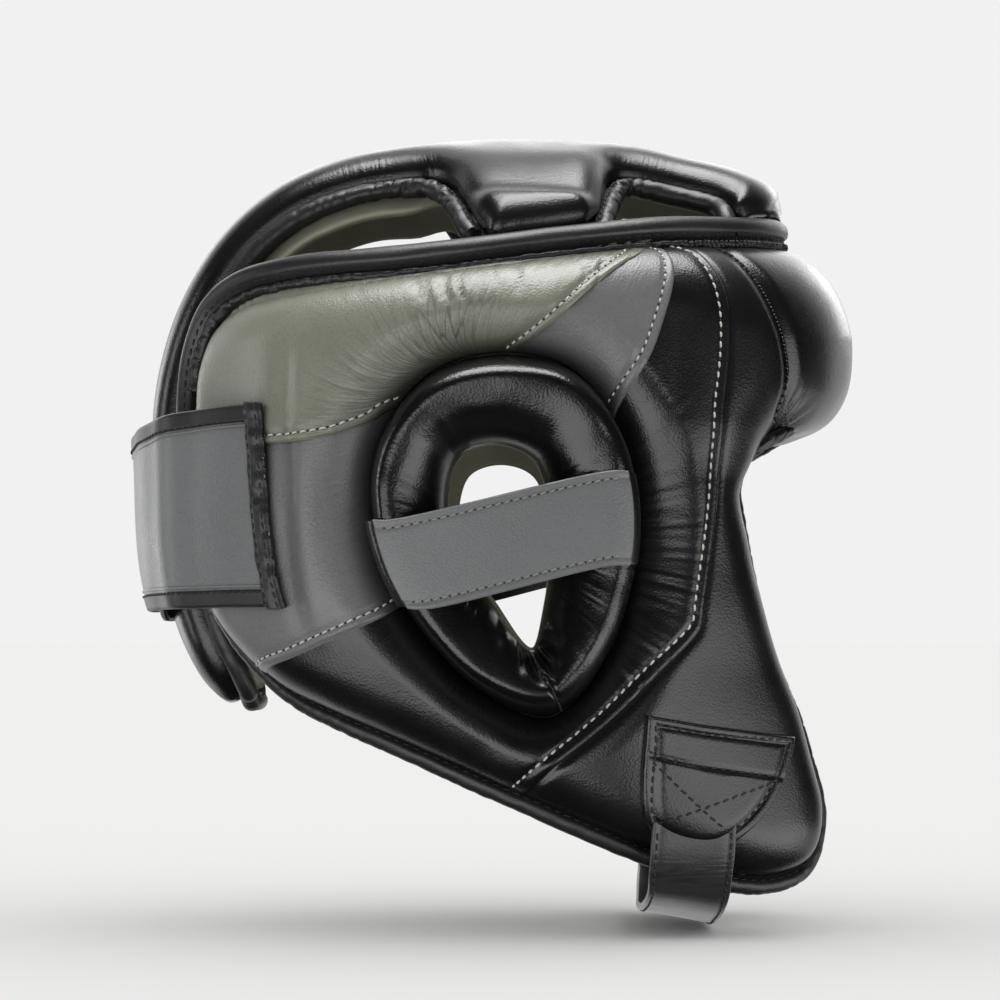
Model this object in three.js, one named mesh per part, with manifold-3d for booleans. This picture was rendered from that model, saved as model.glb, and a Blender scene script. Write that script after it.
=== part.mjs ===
// Kickboxing headgear, size S/M: a padded leather shell round the forehead, temples and cheeks,
// a cross-shaped crown that runs on down the back of the head, padded ear rings with a strap across
// each, a wide hook-and-loop strap behind and a chin strap below.
// Millimetres. +X is where the face looks, +Y is the wearer's left, +Z is up.
// The origin is the point under the crown where the top of the head sits.
import * as THREE from 'three';
import { mergeVertices } from 'three/addons/utils/BufferGeometryUtils.js';
import Module from 'manifold-3d';

const wasm = await Module();
wasm.setup();

// Driving dimensions

const GAP = 0.3; // clearance between pieces that are sewn together
const BINDING_GAP = 0.8;
const EDGE_BINDING_GAP = 1.1; // its inside corners need a little more
const LINING = 1.5; // suede lining
const PAD_INNER = LINING + GAP; // the pads start just outside the lining
const SKIN = 1.2; // leather panel laid over a pad
const SKIN_GAP = 0.4;
const PATCH = 2; // doubled leather of the chin patch

const EDGE = 8; // how far a pad's outer face stands out at its bound edge
const BROW = { thickness: 28.9, round: 33, fullness: 2.05 };
const SIDE = { thickness: 23, round: 18, fullness: 2.2 };
const CHEEK_THICKNESS = 19;
const GROOVE = { height: 8, round: 12 }; // the valley round the ear ring
const EAR_RING = { crest: 28, slopeTo: 21, wall: 5, outerRound: 9, innerRound: 13 };

const RIM_BINDING_RADIUS = 3.6;
const EDGE_BINDING_RADIUS = 3.2;
const VENT_BINDING_RADIUS = 3.2;
const RIM_BINDING_HEIGHT = 9; // the bindings' centre lines, out from the head form
const EDGE_BINDING_HEIGHT = 5.4;
const BINDING_SIDES = 6;

const CROWN = { thickness: 13, edge: 4, round: 15, fullness: 2.2, bend: 104, bluntFront: 6 };
const CROWN_ACROSS = [-1, -0.93, -0.75, -0.4, 0, 0.4, 0.75, 0.93, 1]; // shares of the half width
const CROWN_UNDER = [-1, 0, 1];
const FRONT_BOW = { depth: 7, at: 30, fades: 40 };
const EAR_STRAP = { thickness: 1.6, width: 30, rise: -2.4, slope: 0.2 };
const REAR_STRAP = { thickness: 2.4, bindingHeight: 6.5, bindingThickness: 3.4 };
const CHIN_STRAP_THICKNESS = 2.4;

const MM_PER_DEGREE = 1.7; // along the wall, for one degree round the head
const EAR_CENTRE = { angle: 87, z: -124 };
const LONG_STEP = 30; // edge rows further apart than this get a ray between them
const BROW_STATIONS = 12;
const BROW_RISES = [0, 0.04, 0.14, 0.3, 0.5, 0.7, 0.86, 0.96, 1]; // shares of the brow's height
const BROW_MIDDLE = { bottom: -87.5, top: -21.5 };
const SEAM_CLEARANCE = 0.5; // degrees

// The hollow that the head fills: level ovals, from the top down

const HEAD_FORM = [
  { z: 10, centre: 2, halfLength: 82, halfWidth: 63 },
  { z: -20, centre: 2, halfLength: 92, halfWidth: 71 },
  { z: -60, centre: 2, halfLength: 98, halfWidth: 76.5 },
  { z: -100, centre: 3, halfLength: 100, halfWidth: 78 },
  { z: -140, centre: 5, halfLength: 100, halfWidth: 77 },
  { z: -165, centre: 11, halfLength: 98, halfWidth: 74.5 },
  { z: -185, centre: 20, halfLength: 96, halfWidth: 71.5 },
  { z: -200, centre: 27, halfLength: 93, halfWidth: 69 },
  { z: -220, centre: 36, halfLength: 88, halfWidth: 65 },
  { z: -250, centre: 46, halfLength: 78, halfWidth: 58 },
];

// The shell's bound edge on the right: degrees round the head from the front, and height

const BROW_TOP = [
  { angle: -12, z: -21.8 },
  { angle: 0, z: -21.5 },
  { angle: 14, z: -22.2 },
  { angle: 27, z: -23.2 },
];
const SIDE_EDGE = [
  { angle: 41, z: -24.5 },
  { angle: 55, z: -26 },
  { angle: 79, z: -31 },
  { angle: 102, z: -36 },
  { angle: 128, z: -39 },
  { angle: 141, z: -43 },
  { angle: 149, z: -51 },
  { angle: 153, z: -64 },
  { angle: 154, z: -82 },
  { angle: 152.5, z: -106 },
  { angle: 148.5, z: -133 },
  { angle: 145, z: -152 },
  { angle: 141, z: -164 },
  { angle: 136, z: -174 },
  { angle: 128, z: -181.5 },
  { angle: 119, z: -189 },
  { angle: 101, z: -206 },
  { angle: 81, z: -223.5 },
  { angle: 64, z: -233.8 },
  { angle: 51, z: -235 },
  { angle: 40.5, z: -229.5 },
  { angle: 34.5, z: -215 },
  { angle: 34, z: -195 },
  { angle: 34, z: -175 },
  { angle: 36, z: -150 },
  { angle: 38.8, z: -125 },
  { angle: 40.4, z: -107 },
  { angle: 34.5, z: -92 },
];
const BROW_BOTTOM = [
  { angle: 22, z: -90 },
  { angle: 11, z: -88.2 },
  { angle: 0, z: -87.5 },
  { angle: -12, z: -88 },
];

// The seam where the brow roll joins the side pad, from the eye corner up to the rim

const BROW_SEAM = [
  { angle: 34.5, z: -92 },
  { angle: 35.2, z: -84 },
  { angle: 34.6, z: -76.5 },
  { angle: 34.8, z: -69 },
  { angle: 36, z: -58.5 },
  { angle: 37.6, z: -47.5 },
  { angle: 39.2, z: -37 },
  { angle: 40.6, z: -30 },
  { angle: 41, z: -24.5 },
];

// The ear ring's egg-shaped outline and its pointed opening

const EAR_OUTLINE = [
  { angle: 87, z: -65 },
  { angle: 75, z: -69.5 },
  { angle: 67.5, z: -86 },
  { angle: 64, z: -108 },
  { angle: 64.5, z: -133 },
  { angle: 70, z: -157 },
  { angle: 79.5, z: -175.5 },
  { angle: 88.5, z: -183 },
  { angle: 96.5, z: -176 },
  { angle: 104, z: -154 },
  { angle: 108.5, z: -128 },
  { angle: 109.5, z: -105 },
  { angle: 106, z: -86 },
  { angle: 98, z: -70.5 },
];
const EAR_HOLE = [
  { angle: 88, z: -94.5 },
  { angle: 81.5, z: -98.5 },
  { angle: 78.5, z: -112 },
  { angle: 78.5, z: -128 },
  { angle: 80.5, z: -145 },
  { angle: 85.5, z: -161 },
  { angle: 90.5, z: -145 },
  { angle: 95, z: -130 },
  { angle: 97, z: -113 },
  { angle: 94.5, z: -98.5 },
];

// The crown's inner line from the forehead rim over the top to the nape, and its half width

const CROWN_SECTIONS = [
  { x: 97.5, z: -14.8, half: 38 },
  { x: 90, z: -10.9, half: 33 },
  { x: 79.5, z: -7.4, half: 31 },
  { x: 66, z: -4.5, half: 30 },
  { x: 54, z: -1.6, half: 31 },
  { x: 47, z: -0.5, half: 34.5 },
  { x: 44, z: -0.1, half: 42 },
  { x: 42.5, z: 0, half: 54 },
  { x: 41, z: 0.1, half: 66 },
  { x: 38, z: 0.4, half: 73 },
  { x: 28, z: 1, half: 78 },
  { x: 14, z: 1.4, half: 81.5 },
  { x: 5, z: 1.3, half: 82.5 },
  { x: 0, z: 1.1, half: 75 },
  { x: -5, z: 0.8, half: 59 },
  { x: -10, z: 0.4, half: 45 },
  { x: -17, z: -0.4, half: 36 },
  { x: -27, z: -1.8, half: 31.5 },
  { x: -40, z: -4.1, half: 29.5 },
  { x: -53, z: -8.4, half: 28.5 },
  { x: -65, z: -15, half: 27.5 },
  { x: -76, z: -24.5, half: 26.5 },
  { x: -86, z: -38, half: 25.5 },
  { x: -93, z: -52, half: 24 },
  { x: -98, z: -68, half: 22.8 },
  { x: -99.8, z: -84, half: 22.4 },
  { x: -99.2, z: -100, half: 22.4 },
  { x: -98, z: -116, half: 22.8 },
  { x: -95.5, z: -133, half: 24 },
  { x: -92, z: -148, half: 24.5 },
  { x: -87.5, z: -159, half: 24 },
  { x: -82, z: -169, half: 20 },
  { x: -78, z: -176, half: 11 },
];

// Side views of the leather panels sewn over the side pad

const TEMPLE_SEAM = [
  { x: 62, z: -12 },
  { x: 60, z: -27 },
  { x: 41.5, z: -39 },
  { x: 28, z: -51 },
  { x: 10, z: -66 },
  { x: 6, z: -90 },
];
const TEMPLE_HEM = [
  { x: -25, z: -84 },
  { x: -42, z: -89.5 },
  { x: -65, z: -93 },
  { x: -125, z: -94 },
];
const CORNER_SEAM = [
  { x: 40, z: -95 },
  { x: 52.5, z: -76 },
  { x: 60, z: -60 },
  { x: 64.5, z: -44 },
  { x: 64.5, z: -33 },
];
const REAR_HEM = [
  { x: -125, z: -190 },
  { x: -68, z: -165 },
  { x: -41, z: -154 },
  { x: -24, z: -145 },
  { x: 0, z: -125 },
];
const CHIN_PATCH = [
  { x: 54.5, z: -183 },
  { x: 104.5, z: -190 },
  { x: 103.5, z: -201 },
  { x: 97, z: -214 },
  { x: 86, z: -222.5 },
  { x: 72, z: -224.5 },
  { x: 59, z: -220 },
  { x: 53, z: -210 },
];

// An end of the strap across the ear: millimetres inside the ear ring's outline, and height

const EAR_STRAP_END = [
  { inset: -0.6, out: 20 },
  { inset: 0.2, out: 24.5 },
  { inset: 2.8, out: 28.6 },
  { inset: 9, out: 29.3 },
];

// Stretches of edge that are bound, by row: of the crown's sections, and of the shell's edge

const FRONT_VENT = { from: 0, to: 8 };
const BACK_EDGE = { from: 14, to: 33 };
const RIM_ROWS = { from: 1, to: 12.7, steps: 22 };
const EDGE_ROWS = { from: 12.9, to: 30.4, steps: 30 };

// The rear strap's run round the back: height of its inner face above the head form, how much closer
// it tucks in at its bottom edge, and its top and bottom

const REAR_STRAP_RUN = [
  { angle: 127, out: 25.5, tuck: 0, top: -81, bottom: -147.5 },
  { angle: 143, out: 25.8, tuck: 0, top: -83, bottom: -148 },
  { angle: 157, out: 20.8, tuck: 1, top: -86.5, bottom: -148.5 },
  { angle: 180, out: 15.8, tuck: 2, top: -89, bottom: -149 },
  { angle: 203, out: 20.8, tuck: 1, top: -86.5, bottom: -148.5 },
  { angle: 217, out: 25.8, tuck: 0, top: -83, bottom: -148 },
  { angle: 233, out: 25.5, tuck: 0, top: -81, bottom: -147.5 },
];
const TAPE = { from: 122.2, to: 126.84, thickness: 2.8, sinks: 0.8 };
const OUTER_STRAP = { from: 127, to: 222, liftFrom: 139, liftTo: 149 };
const INNER_STRAP = { from: 152, to: 232.8, shows: 3, hidden: 4 };

// The chin strap's rear and front edges on the right, from the patch down to the middle

const CHIN_STRAP_RUN = [
  { z: -225.2, rear: { x: 56, y: -80.4 }, front: { x: 84, y: -73.8 } },
  { z: -233, rear: { x: 56, y: -77.6 }, front: { x: 83.5, y: -71.6 } },
  { z: -240.5, rear: { x: 56, y: -72.5 }, front: { x: 83, y: -67 } },
  { z: -247, rear: { x: 55.5, y: -62 }, front: { x: 82, y: -58.5 } },
  { z: -251, rear: { x: 55, y: -45 }, front: { x: 81, y: -43 } },
  { z: -252.6, rear: { x: 54.5, y: -22 }, front: { x: 80.5, y: -21 } },
  { z: -253, rear: { x: 54, y: 0 }, front: { x: 80, y: 0 } },
];

// Leathers

const leather = (color, roughness) => new THREE.MeshStandardMaterial({ color, roughness, metalness: 0 });
const BLACK_LEATHER = leather(0x1c1c1e, 0.4);
const OLIVE_LEATHER = leather(0x7d7e72, 0.42);
const GREY_LEATHER = leather(0x58585a, 0.45);
const OLIVE_SUEDE = leather(0x55554a, 0.9);

// Solids from sections

const { clamp, lerp, smoothstep } = THREE.MathUtils;

// A closed body through stations that each hold the points of one face and of the face behind it.
// Faces that lie against each other are both listed as a face, or both as a back, so they crease alike.
function loft(stations, closed = false) {
  const points = stations.flatMap(({ face, back }) => [...face, ...back.toReversed()]);
  const count = stations[0].face.length + stations[0].back.length;
  const triangles = [];
  const spans = closed ? stations.length : stations.length - 1;
  for (let i = 0; i < spans; i++) {
    const here = i * count;
    const next = ((i + 1) % stations.length) * count;
    for (let j = 0; j < count; j++) {
      const k = (j + 1) % count;
      triangles.push([here + j, next + j, next + k], [here + j, next + k, here + k]);
    }
  }
  if (!closed) {
    const faceCount = stations[0].face.length;
    triangles.push(...endCap(faceCount, count, 0));
    const last = (stations.length - 1) * count;
    triangles.push(...endCap(faceCount, count, last).map(([a, b, c]) => [a, c, b]));
  }
  const geometry = new THREE.BufferGeometry().setFromPoints(points);
  geometry.setIndex(triangles.flat());
  if (signedVolume(geometry) < 0) geometry.setIndex(triangles.flatMap(([a, b, c]) => [a, c, b]));
  return geometry;
}

// Triangles between the two rows of an end station, which may differ in count.
function endCap(faceCount, count, start) {
  const backCount = count - faceCount;
  const face = (n) => start + n;
  const back = (n) => start + count - 1 - n;
  const triangles = [];
  let i = 0;
  let j = 0;
  while (i < faceCount - 1 || j < backCount - 1) {
    const faceFirst = (i + 1) * (backCount - 1) <= (j + 1) * (faceCount - 1);
    if (j === backCount - 1 || (i < faceCount - 1 && faceFirst)) {
      triangles.push([face(i), face(i + 1), back(j)]);
      i++;
    } else {
      triangles.push([face(i), back(j + 1), back(j)]);
      j++;
    }
  }
  return triangles;
}

function signedVolume(geometry) {
  const position = geometry.getAttribute('position');
  const corner = (i) => new THREE.Vector3().fromBufferAttribute(position, geometry.index.array[i]);
  let sum = 0;
  for (let i = 0; i < geometry.index.count; i += 3) {
    sum += corner(i).dot(corner(i + 1).cross(corner(i + 2))) / 6;
  }
  return sum;
}

// A round binding through the points of a path.
function tube(points, radius) {
  const side = new THREE.Vector3(0.3, 0.2, 1);
  const half = BINDING_SIDES / 2;
  const stations = points.map((point, i) => {
    const before = points[Math.max(i - 1, 0)];
    const after = points[Math.min(i + 1, points.length - 1)];
    const along = after.clone().sub(before).normalize();
    side.addScaledVector(along, -side.dot(along)).normalize();
    const up = along.clone().cross(side);
    const ring = Array.from({ length: BINDING_SIDES }, (_, n) => {
      const turn = (2 * Math.PI * n) / BINDING_SIDES;
      const reach = side.clone().multiplyScalar(Math.cos(turn)).addScaledVector(up, Math.sin(turn));
      return point.clone().addScaledVector(reach, radius);
    });
    return { face: ring.slice(0, half), back: ring.slice(half).toReversed() };
  });
  return loft(stations);
}

function toManifold(geometry) {
  const bare = new THREE.BufferGeometry().setAttribute('position', geometry.getAttribute('position'));
  if (geometry.index) bare.setIndex(geometry.index);
  const merged = mergeVertices(bare, 1e-4);
  const vertProperties = merged.getAttribute('position').array;
  const triVerts = new Uint32Array(merged.index.array);
  return new wasm.Manifold(new wasm.Mesh({ numProp: 3, vertProperties, triVerts }));
}

// The part of a right-hand solid that lies inside an outline drawn in the side view.
function trimmed(geometry, outline) {
  const shape = new THREE.Shape(outline.map(({ x, z }) => new THREE.Vector2(x, z)));
  const prism = new THREE.ExtrudeGeometry(shape, { depth: 150, bevelEnabled: false });
  prism.rotateX(Math.PI / 2);
  const mesh = toManifold(geometry).intersect(toManifold(prism)).getMesh();
  const cut = new THREE.BufferGeometry();
  cut.setAttribute('position', new THREE.BufferAttribute(mesh.vertProperties, 3));
  cut.setIndex(new THREE.BufferAttribute(mesh.triVerts, 1));
  return cut;
}

// Smooth columns of a table, read at any value of its key column.
function smoothTable(rows, key, columns) {
  const sorted = rows.toSorted((a, b) => a[key] - b[key]);
  const keys = sorted.map((row) => row[key]);
  const values = sorted.flatMap((row) => columns.map((column) => row[column]));
  const spline = new THREE.CubicInterpolant(keys, values, columns.length);
  return (at) => {
    const read = spline.evaluate(at);
    return Object.fromEntries(columns.map((column, i) => [column, read[i]]));
  };
}

// The wall round the head

const headForm = smoothTable(HEAD_FORM, 'z', ['centre', 'halfLength', 'halfWidth']);

// A point round the head at a plan angle and height, standing out level from the head form.
function wallPoint(angle, z, out) {
  const { centre, halfLength, halfWidth } = headForm(z);
  const turn = THREE.MathUtils.degToRad(angle);
  const [c, s] = [Math.cos(turn), Math.sin(turn)];
  const normal = new THREE.Vector2(c / halfLength, s / halfWidth).normalize();
  return new THREE.Vector3(centre + halfLength * c + out * normal.x, -halfWidth * s - out * normal.y, z);
}

// The wall unrolled flat: millimetres forward of the ear line, and height.
const flat = ({ angle, z }) => new THREE.Vector2((90 - angle) * MM_PER_DEGREE, z);
const angleAt = (point) => 90 - point.x / MM_PER_DEGREE;
const onWall = (point, out) => wallPoint(angleAt(point), point.y, out);

// A smooth line through the rows of a table, read at any row number, whole or not.
function smoothLine(rows, closed = false) {
  const points = rows.map((row) => new THREE.Vector3(flat(row).x, row.z, 0));
  const curve = new THREE.CatmullRomCurve3(points, closed);
  const last = closed ? rows.length : rows.length - 1;
  return (row) => {
    const { x, y } = curve.getPoint(clamp(row / last, 0, 1));
    return new THREE.Vector2(x, y);
  };
}

// Row numbers from one row to another in equal steps.
function rowsBetween(from, to, count) {
  return Array.from({ length: count + 1 }, (_, i) => lerp(from, to, i / count));
}

function distanceToLine(point, line) {
  let nearest = Infinity;
  for (let i = 0; i < line.length - 1; i++) {
    const step = line[i + 1].clone().sub(line[i]);
    const reach = point.clone().sub(line[i]);
    const share = clamp(reach.dot(step) / step.lengthSq(), 0, 1);
    nearest = Math.min(nearest, reach.sub(step.multiplyScalar(share)).length());
  }
  return nearest;
}

// How full a padded section is at a distance from its sewn edge: 0 at the edge, 1 past its rounding.
function pillow(distance, round, fullness) {
  const rest = 1 - Math.min(distance / round, 1);
  return (1 - rest ** fullness) ** (1 / fullness);
}

const SHELL_EDGE = [...BROW_TOP, ...SIDE_EDGE, ...BROW_BOTTOM];
const firstSideRow = BROW_TOP.length;
const lastSideRow = firstSideRow + SIDE_EDGE.length - 1;
const edgeLine = smoothLine(SHELL_EDGE);
const edgePoints = rowsBetween(0, SHELL_EDGE.length - 1, 6 * SHELL_EDGE.length).map(edgeLine);
const earCentre = flat(EAR_CENTRE);

// An outline round the ear as a radius for each direction from the ear's centre.
function polarOutline(rows) {
  const spokes = rowsBetween(0, rows.length, 20 * rows.length)
    .map(smoothLine(rows, true))
    .map((point) => point.sub(earCentre))
    .map((spoke) => ({ direction: spoke.angle(), radius: spoke.length() }))
    .toSorted((a, b) => a.direction - b.direction);
  const full = 2 * Math.PI;
  return (direction) => {
    const next = spokes.findIndex((spoke) => spoke.direction >= direction);
    const after = spokes[Math.max(next, 0)];
    const before = spokes.at(Math.max(next, 0) - 1);
    const span = (after.direction - before.direction + full) % full;
    const share = span ? ((direction - before.direction + full) % full) / span : 0;
    return lerp(before.radius, after.radius, share);
  };
}

const earOutline = polarOutline(EAR_OUTLINE);
const earHole = polarOutline(EAR_HOLE);

// The outer face of the padded shell, out from the head form, at a flat point of the wall.
function padHeight(point) {
  const front = (1 - smoothstep(angleAt(point), 36, 64)) * smoothstep(point.y, -106, -86);
  const cheek = 1 - smoothstep(point.y, -215, -140);
  const thickness = lerp(lerp(SIDE.thickness, CHEEK_THICKNESS, cheek), BROW.thickness, front);
  const round = lerp(SIDE.round, BROW.round, front);
  const fullness = lerp(SIDE.fullness, BROW.fullness, front);
  const fromEdge = pillow(distanceToLine(point, edgePoints), round, fullness);
  const padded = EDGE + (thickness - EDGE) * fromEdge;
  const spoke = point.clone().sub(earCentre);
  const fromEar = Math.max(spoke.length() - earOutline(spoke.angle()), 0);
  return lerp(GROOVE.height, padded, pillow(fromEar, GROOVE.round, SIDE.fullness));
}

// Side pads, linings, ear rings and leather panels, all on the same rays from the ear

const browSeam = smoothLine(BROW_SEAM);
const seamRows = BROW_RISES.map((rise) => rise * (BROW_SEAM.length - 1));

// The rays: to each row of the side edge, halfway between rows that lie far apart, and to the brow seam.
function sideRays() {
  const edgeRows = SIDE_EDGE.flatMap((_, i) => {
    const row = firstSideRow + i;
    const far = row < lastSideRow && edgeLine(row).distanceTo(edgeLine(row + 1)) > LONG_STEP;
    return far ? [row, row + 0.5] : [row];
  });
  const ends = [...edgeRows.map(edgeLine), ...seamRows.slice(1, -1).map(browSeam)];
  return ends.map((end) => {
    const spoke = end.sub(earCentre);
    const direction = spoke.angle();
    const along = spoke.clone().normalize();
    const at = (radius) => earCentre.clone().addScaledVector(along, radius);
    return { at, edge: spoke.length(), ring: earOutline(direction), hole: earHole(direction) };
  });
}

const rays = sideRays();

// Places along a ray from the ear ring to the pad's edge, crowded where the section rounds over.
function padRows({ ring, edge }) {
  const start = ring + GAP;
  const reach = Math.min(1, (edge - start) / 34);
  const near = [0, 2.5, 8, 16].map((step) => step * reach);
  return [...near.map((step) => start + step), ...near.toReversed().map((step) => edge - step)];
}

// The side pad's outer face along a ray, lifted off it by a distance.
function padFace(ray, lift) {
  return padRows(ray).map((radius) => {
    const point = ray.at(radius);
    return onWall(point, padHeight(point) + lift);
  });
}

const shellRows = ({ ring, edge }) => [ring + GAP, (ring + edge) / 2, edge];

function sidePad() {
  const stations = rays.map((ray) => ({
    face: padFace(ray, 0),
    back: shellRows(ray).map((radius) => onWall(ray.at(radius), PAD_INNER)),
  }));
  return loft(stations, true);
}

// A sheet of leather over the whole side pad, from which the panels are cut.
function sideSkin(thickness) {
  const stations = rays.map((ray) => ({
    face: padFace(ray, SKIN_GAP),
    back: padFace(ray, SKIN_GAP + thickness),
  }));
  return loft(stations, true);
}

function sideLining() {
  const stations = rays.map((ray) => {
    const rows = [ray.hole, ...shellRows(ray)];
    return {
      face: rows.map((radius) => onWall(ray.at(radius), 0)),
      back: rows.map((radius) => onWall(ray.at(radius), LINING)),
    };
  });
  return loft(stations, true);
}

// The ear ring's outer face, at a share of the way from its opening to its outline.
function earRingHeight(share, width) {
  const crest = lerp(EAR_RING.slopeTo, EAR_RING.crest, smoothstep(share, 0, 0.8));
  const outer = pillow((1 - share) * width, EAR_RING.outerRound, SIDE.fullness);
  const inner = pillow(share * width, EAR_RING.innerRound, 2);
  return EAR_RING.wall + (crest - EAR_RING.wall) * outer * inner;
}

function earPad() {
  const shares = [0, 0.1, 0.32, 0.62, 0.84, 0.96, 1];
  const stations = rays.map(({ at, ring, hole }) => {
    const out = (share) => earRingHeight(share, ring - hole);
    return {
      face: shares.map((share) => onWall(at(lerp(hole, ring, share)), out(share))),
      back: [hole, ring].map((radius) => onWall(at(radius), PAD_INNER)),
    };
  });
  return loft(stations, true);
}

// How far forward or back of the ear its outline lies, at a height above the ear's centre.
function ringReach(rise, side) {
  let reach = earOutline(0);
  for (let i = 0; i < 8; i++) {
    const direction = new THREE.Vector2(side * reach, rise).angle();
    reach = Math.sqrt(earOutline(direction) ** 2 - rise ** 2);
  }
  return reach;
}

// The strap across the ear: taut between the ring's crests, its ends turned down into the groove.
function earStrap() {
  const half = EAR_STRAP.width / 2;
  const place = (side, inset, up) => {
    const level = EAR_STRAP.rise + up;
    const rise = level + side * EAR_STRAP.slope * ringReach(level, side);
    return new THREE.Vector2(side * (ringReach(rise, side) - inset), rise).add(earCentre);
  };
  const end = (side) => EAR_STRAP_END.map(({ inset, out }) => {
    return [-half, 0, half].map((up) => onWall(place(side, inset, up), out));
  });
  const rows = [...end(1), ...end(-1).toReversed()];
  const stations = rows.map((row, i) => {
    const before = rows[Math.max(i - 1, 0)];
    const after = rows[Math.min(i + 1, rows.length - 1)];
    const back = row.map((point, j) => {
      const along = after[j].clone().sub(before[j]);
      const away = along.cross(new THREE.Vector3(0, 0, 1)).normalize();
      return point.clone().addScaledVector(away, EAR_STRAP.thickness);
    });
    return { face: row, back };
  });
  return loft(stations);
}

// Brow roll

// A place on the brow: a share of the way round to the seam, and a share of the height.
function browPlace(turn, rise) {
  const seam = browSeam(rise * (BROW_SEAM.length - 1));
  const middle = lerp(BROW_MIDDLE.bottom, BROW_MIDDLE.top, rise);
  const angle = turn * (angleAt(seam) - SEAM_CLEARANCE);
  return flat({ angle, z: lerp(middle, seam.y, turn * turn) });
}

// A layer of the brow between its two seams.
function browLayer(faceOut, backOut) {
  const stations = rowsBetween(-1, 1, BROW_STATIONS).map((turn) => {
    const put = (rise, out) => {
      const place = browPlace(Math.abs(turn), rise);
      const point = onWall(place, out(place));
      return turn < 0 ? point : mirrorPoint(point);
    };
    return {
      face: BROW_RISES.map((rise) => put(rise, faceOut)),
      back: BROW_RISES.map((rise) => put(rise, backOut)),
    };
  });
  return loft(stations);
}

const mirrorPoint = ({ x, y, z }) => new THREE.Vector3(x, -y, z);

// Crown

const crownRows = [];
for (const row of CROWN_SECTIONS) {
  const before = crownRows.at(-1) ?? { ...row, run: 0 };
  crownRows.push({ ...row, run: before.run + Math.hypot(row.x - before.x, row.z - before.z) });
}
const crownLine = smoothTable(crownRows, 'run', ['x', 'z']);
const crownLength = crownRows.at(-1).run;

// A point of the crown: along its middle line, sideways round its bend, and out from its inner face.
// Towards the forehead its cross-lines bow back, so that its front end follows the rim.
function crownPoint(run, sideways, out) {
  const bow = FRONT_BOW.depth * (sideways / FRONT_BOW.at) ** 2 * clamp(1 - run / FRONT_BOW.fades, 0, 1);
  const place = clamp(run + bow, 0, crownLength);
  const { x, z } = crownLine(place);
  const ahead = crownLine(Math.min(place + 0.5, crownLength));
  const behind = crownLine(Math.max(place - 0.5, 0));
  const along = new THREE.Vector2(ahead.x - behind.x, ahead.z - behind.z).normalize();
  const past = run + bow - place;
  const turn = sideways / CROWN.bend;
  const rise = (CROWN.bend + out) * Math.cos(turn) - CROWN.bend;
  const y = (CROWN.bend + out) * Math.sin(turn);
  return new THREE.Vector3(x + along.y * rise + along.x * past, y, z - along.x * rise + along.y * past);
}

const crownEdge = crownRows.map(({ run, half }) => new THREE.Vector2(run, half));
crownEdge.push(new THREE.Vector2(crownLength, 0));
const bluntFront = [0, CROWN_SECTIONS[0].half].map((half) => new THREE.Vector2(-CROWN.bluntFront, half));
const crownOutline = [...bluntFront, ...crownEdge];

function crownHeight(run, sideways) {
  const distance = distanceToLine(new THREE.Vector2(run, Math.abs(sideways)), crownOutline);
  return CROWN.edge + (CROWN.thickness - CROWN.edge) * pillow(distance, CROWN.round, CROWN.fullness);
}

function crownPad() {
  const stations = crownRows.map(({ run, half }) => ({
    face: CROWN_ACROSS.map((share) => crownPoint(run, share * half, crownHeight(run, share * half))),
    back: CROWN_UNDER.map((share) => crownPoint(run, share * half, 0)),
  }));
  return loft(stations);
}

function crownLining() {
  const stations = crownRows.map(({ run, half }) => ({
    face: CROWN_UNDER.map((share) => crownPoint(run, share * half, -GAP - LINING)),
    back: CROWN_UNDER.map((share) => crownPoint(run, share * half, -GAP)),
  }));
  return loft(stations);
}

// Points beside the right edge of the crown, clear of it by the binding's radius.
function besideCrown({ from, to }) {
  const away = VENT_BINDING_RADIUS + BINDING_GAP;
  return crownEdge.slice(from, to + 1).map((point, i) => {
    const before = crownEdge[Math.max(from + i - 1, 0)];
    const after = crownEdge[from + i + 1] ?? new THREE.Vector2(crownLength, -1);
    const along = after.clone().sub(before).normalize();
    const run = point.x - along.y * away;
    const sideways = point.y + along.x * away;
    return crownPoint(run, -sideways, CROWN.edge / 2);
  });
}

// Bindings of the shell's edge

// Points beside the shell's edge between two of its rows, clear of it by the binding's radius.
function besideShell({ from, to, steps }, away, height) {
  return rowsBetween(from, to, steps).map((row) => {
    const along = edgeLine(row + 0.1).sub(edgeLine(row - 0.1)).normalize();
    const outward = new THREE.Vector2(along.y, -along.x);
    return onWall(edgeLine(row).addScaledVector(outward, away), height);
  });
}

// Rear strap

const rearRun = smoothTable(REAR_STRAP_RUN, 'angle', ['out', 'tuck', 'top', 'bottom']);

// A band of the rear strap between heights that follow its edges.
function rearBand({ from, to }, heights, lift, thickness, steps = 14) {
  const stations = rowsBetween(from, to, steps).map((angle) => {
    const { out, tuck, top, bottom } = rearRun(angle);
    const innerFace = (z) => out + lift(angle) - tuck * ((top - z) / (top - bottom));
    const layer = (extra) => heights(top, bottom).map((z) => wallPoint(angle, z, innerFace(z) + extra));
    return { face: layer(0), back: layer(thickness) };
  });
  return loft(stations);
}

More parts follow.
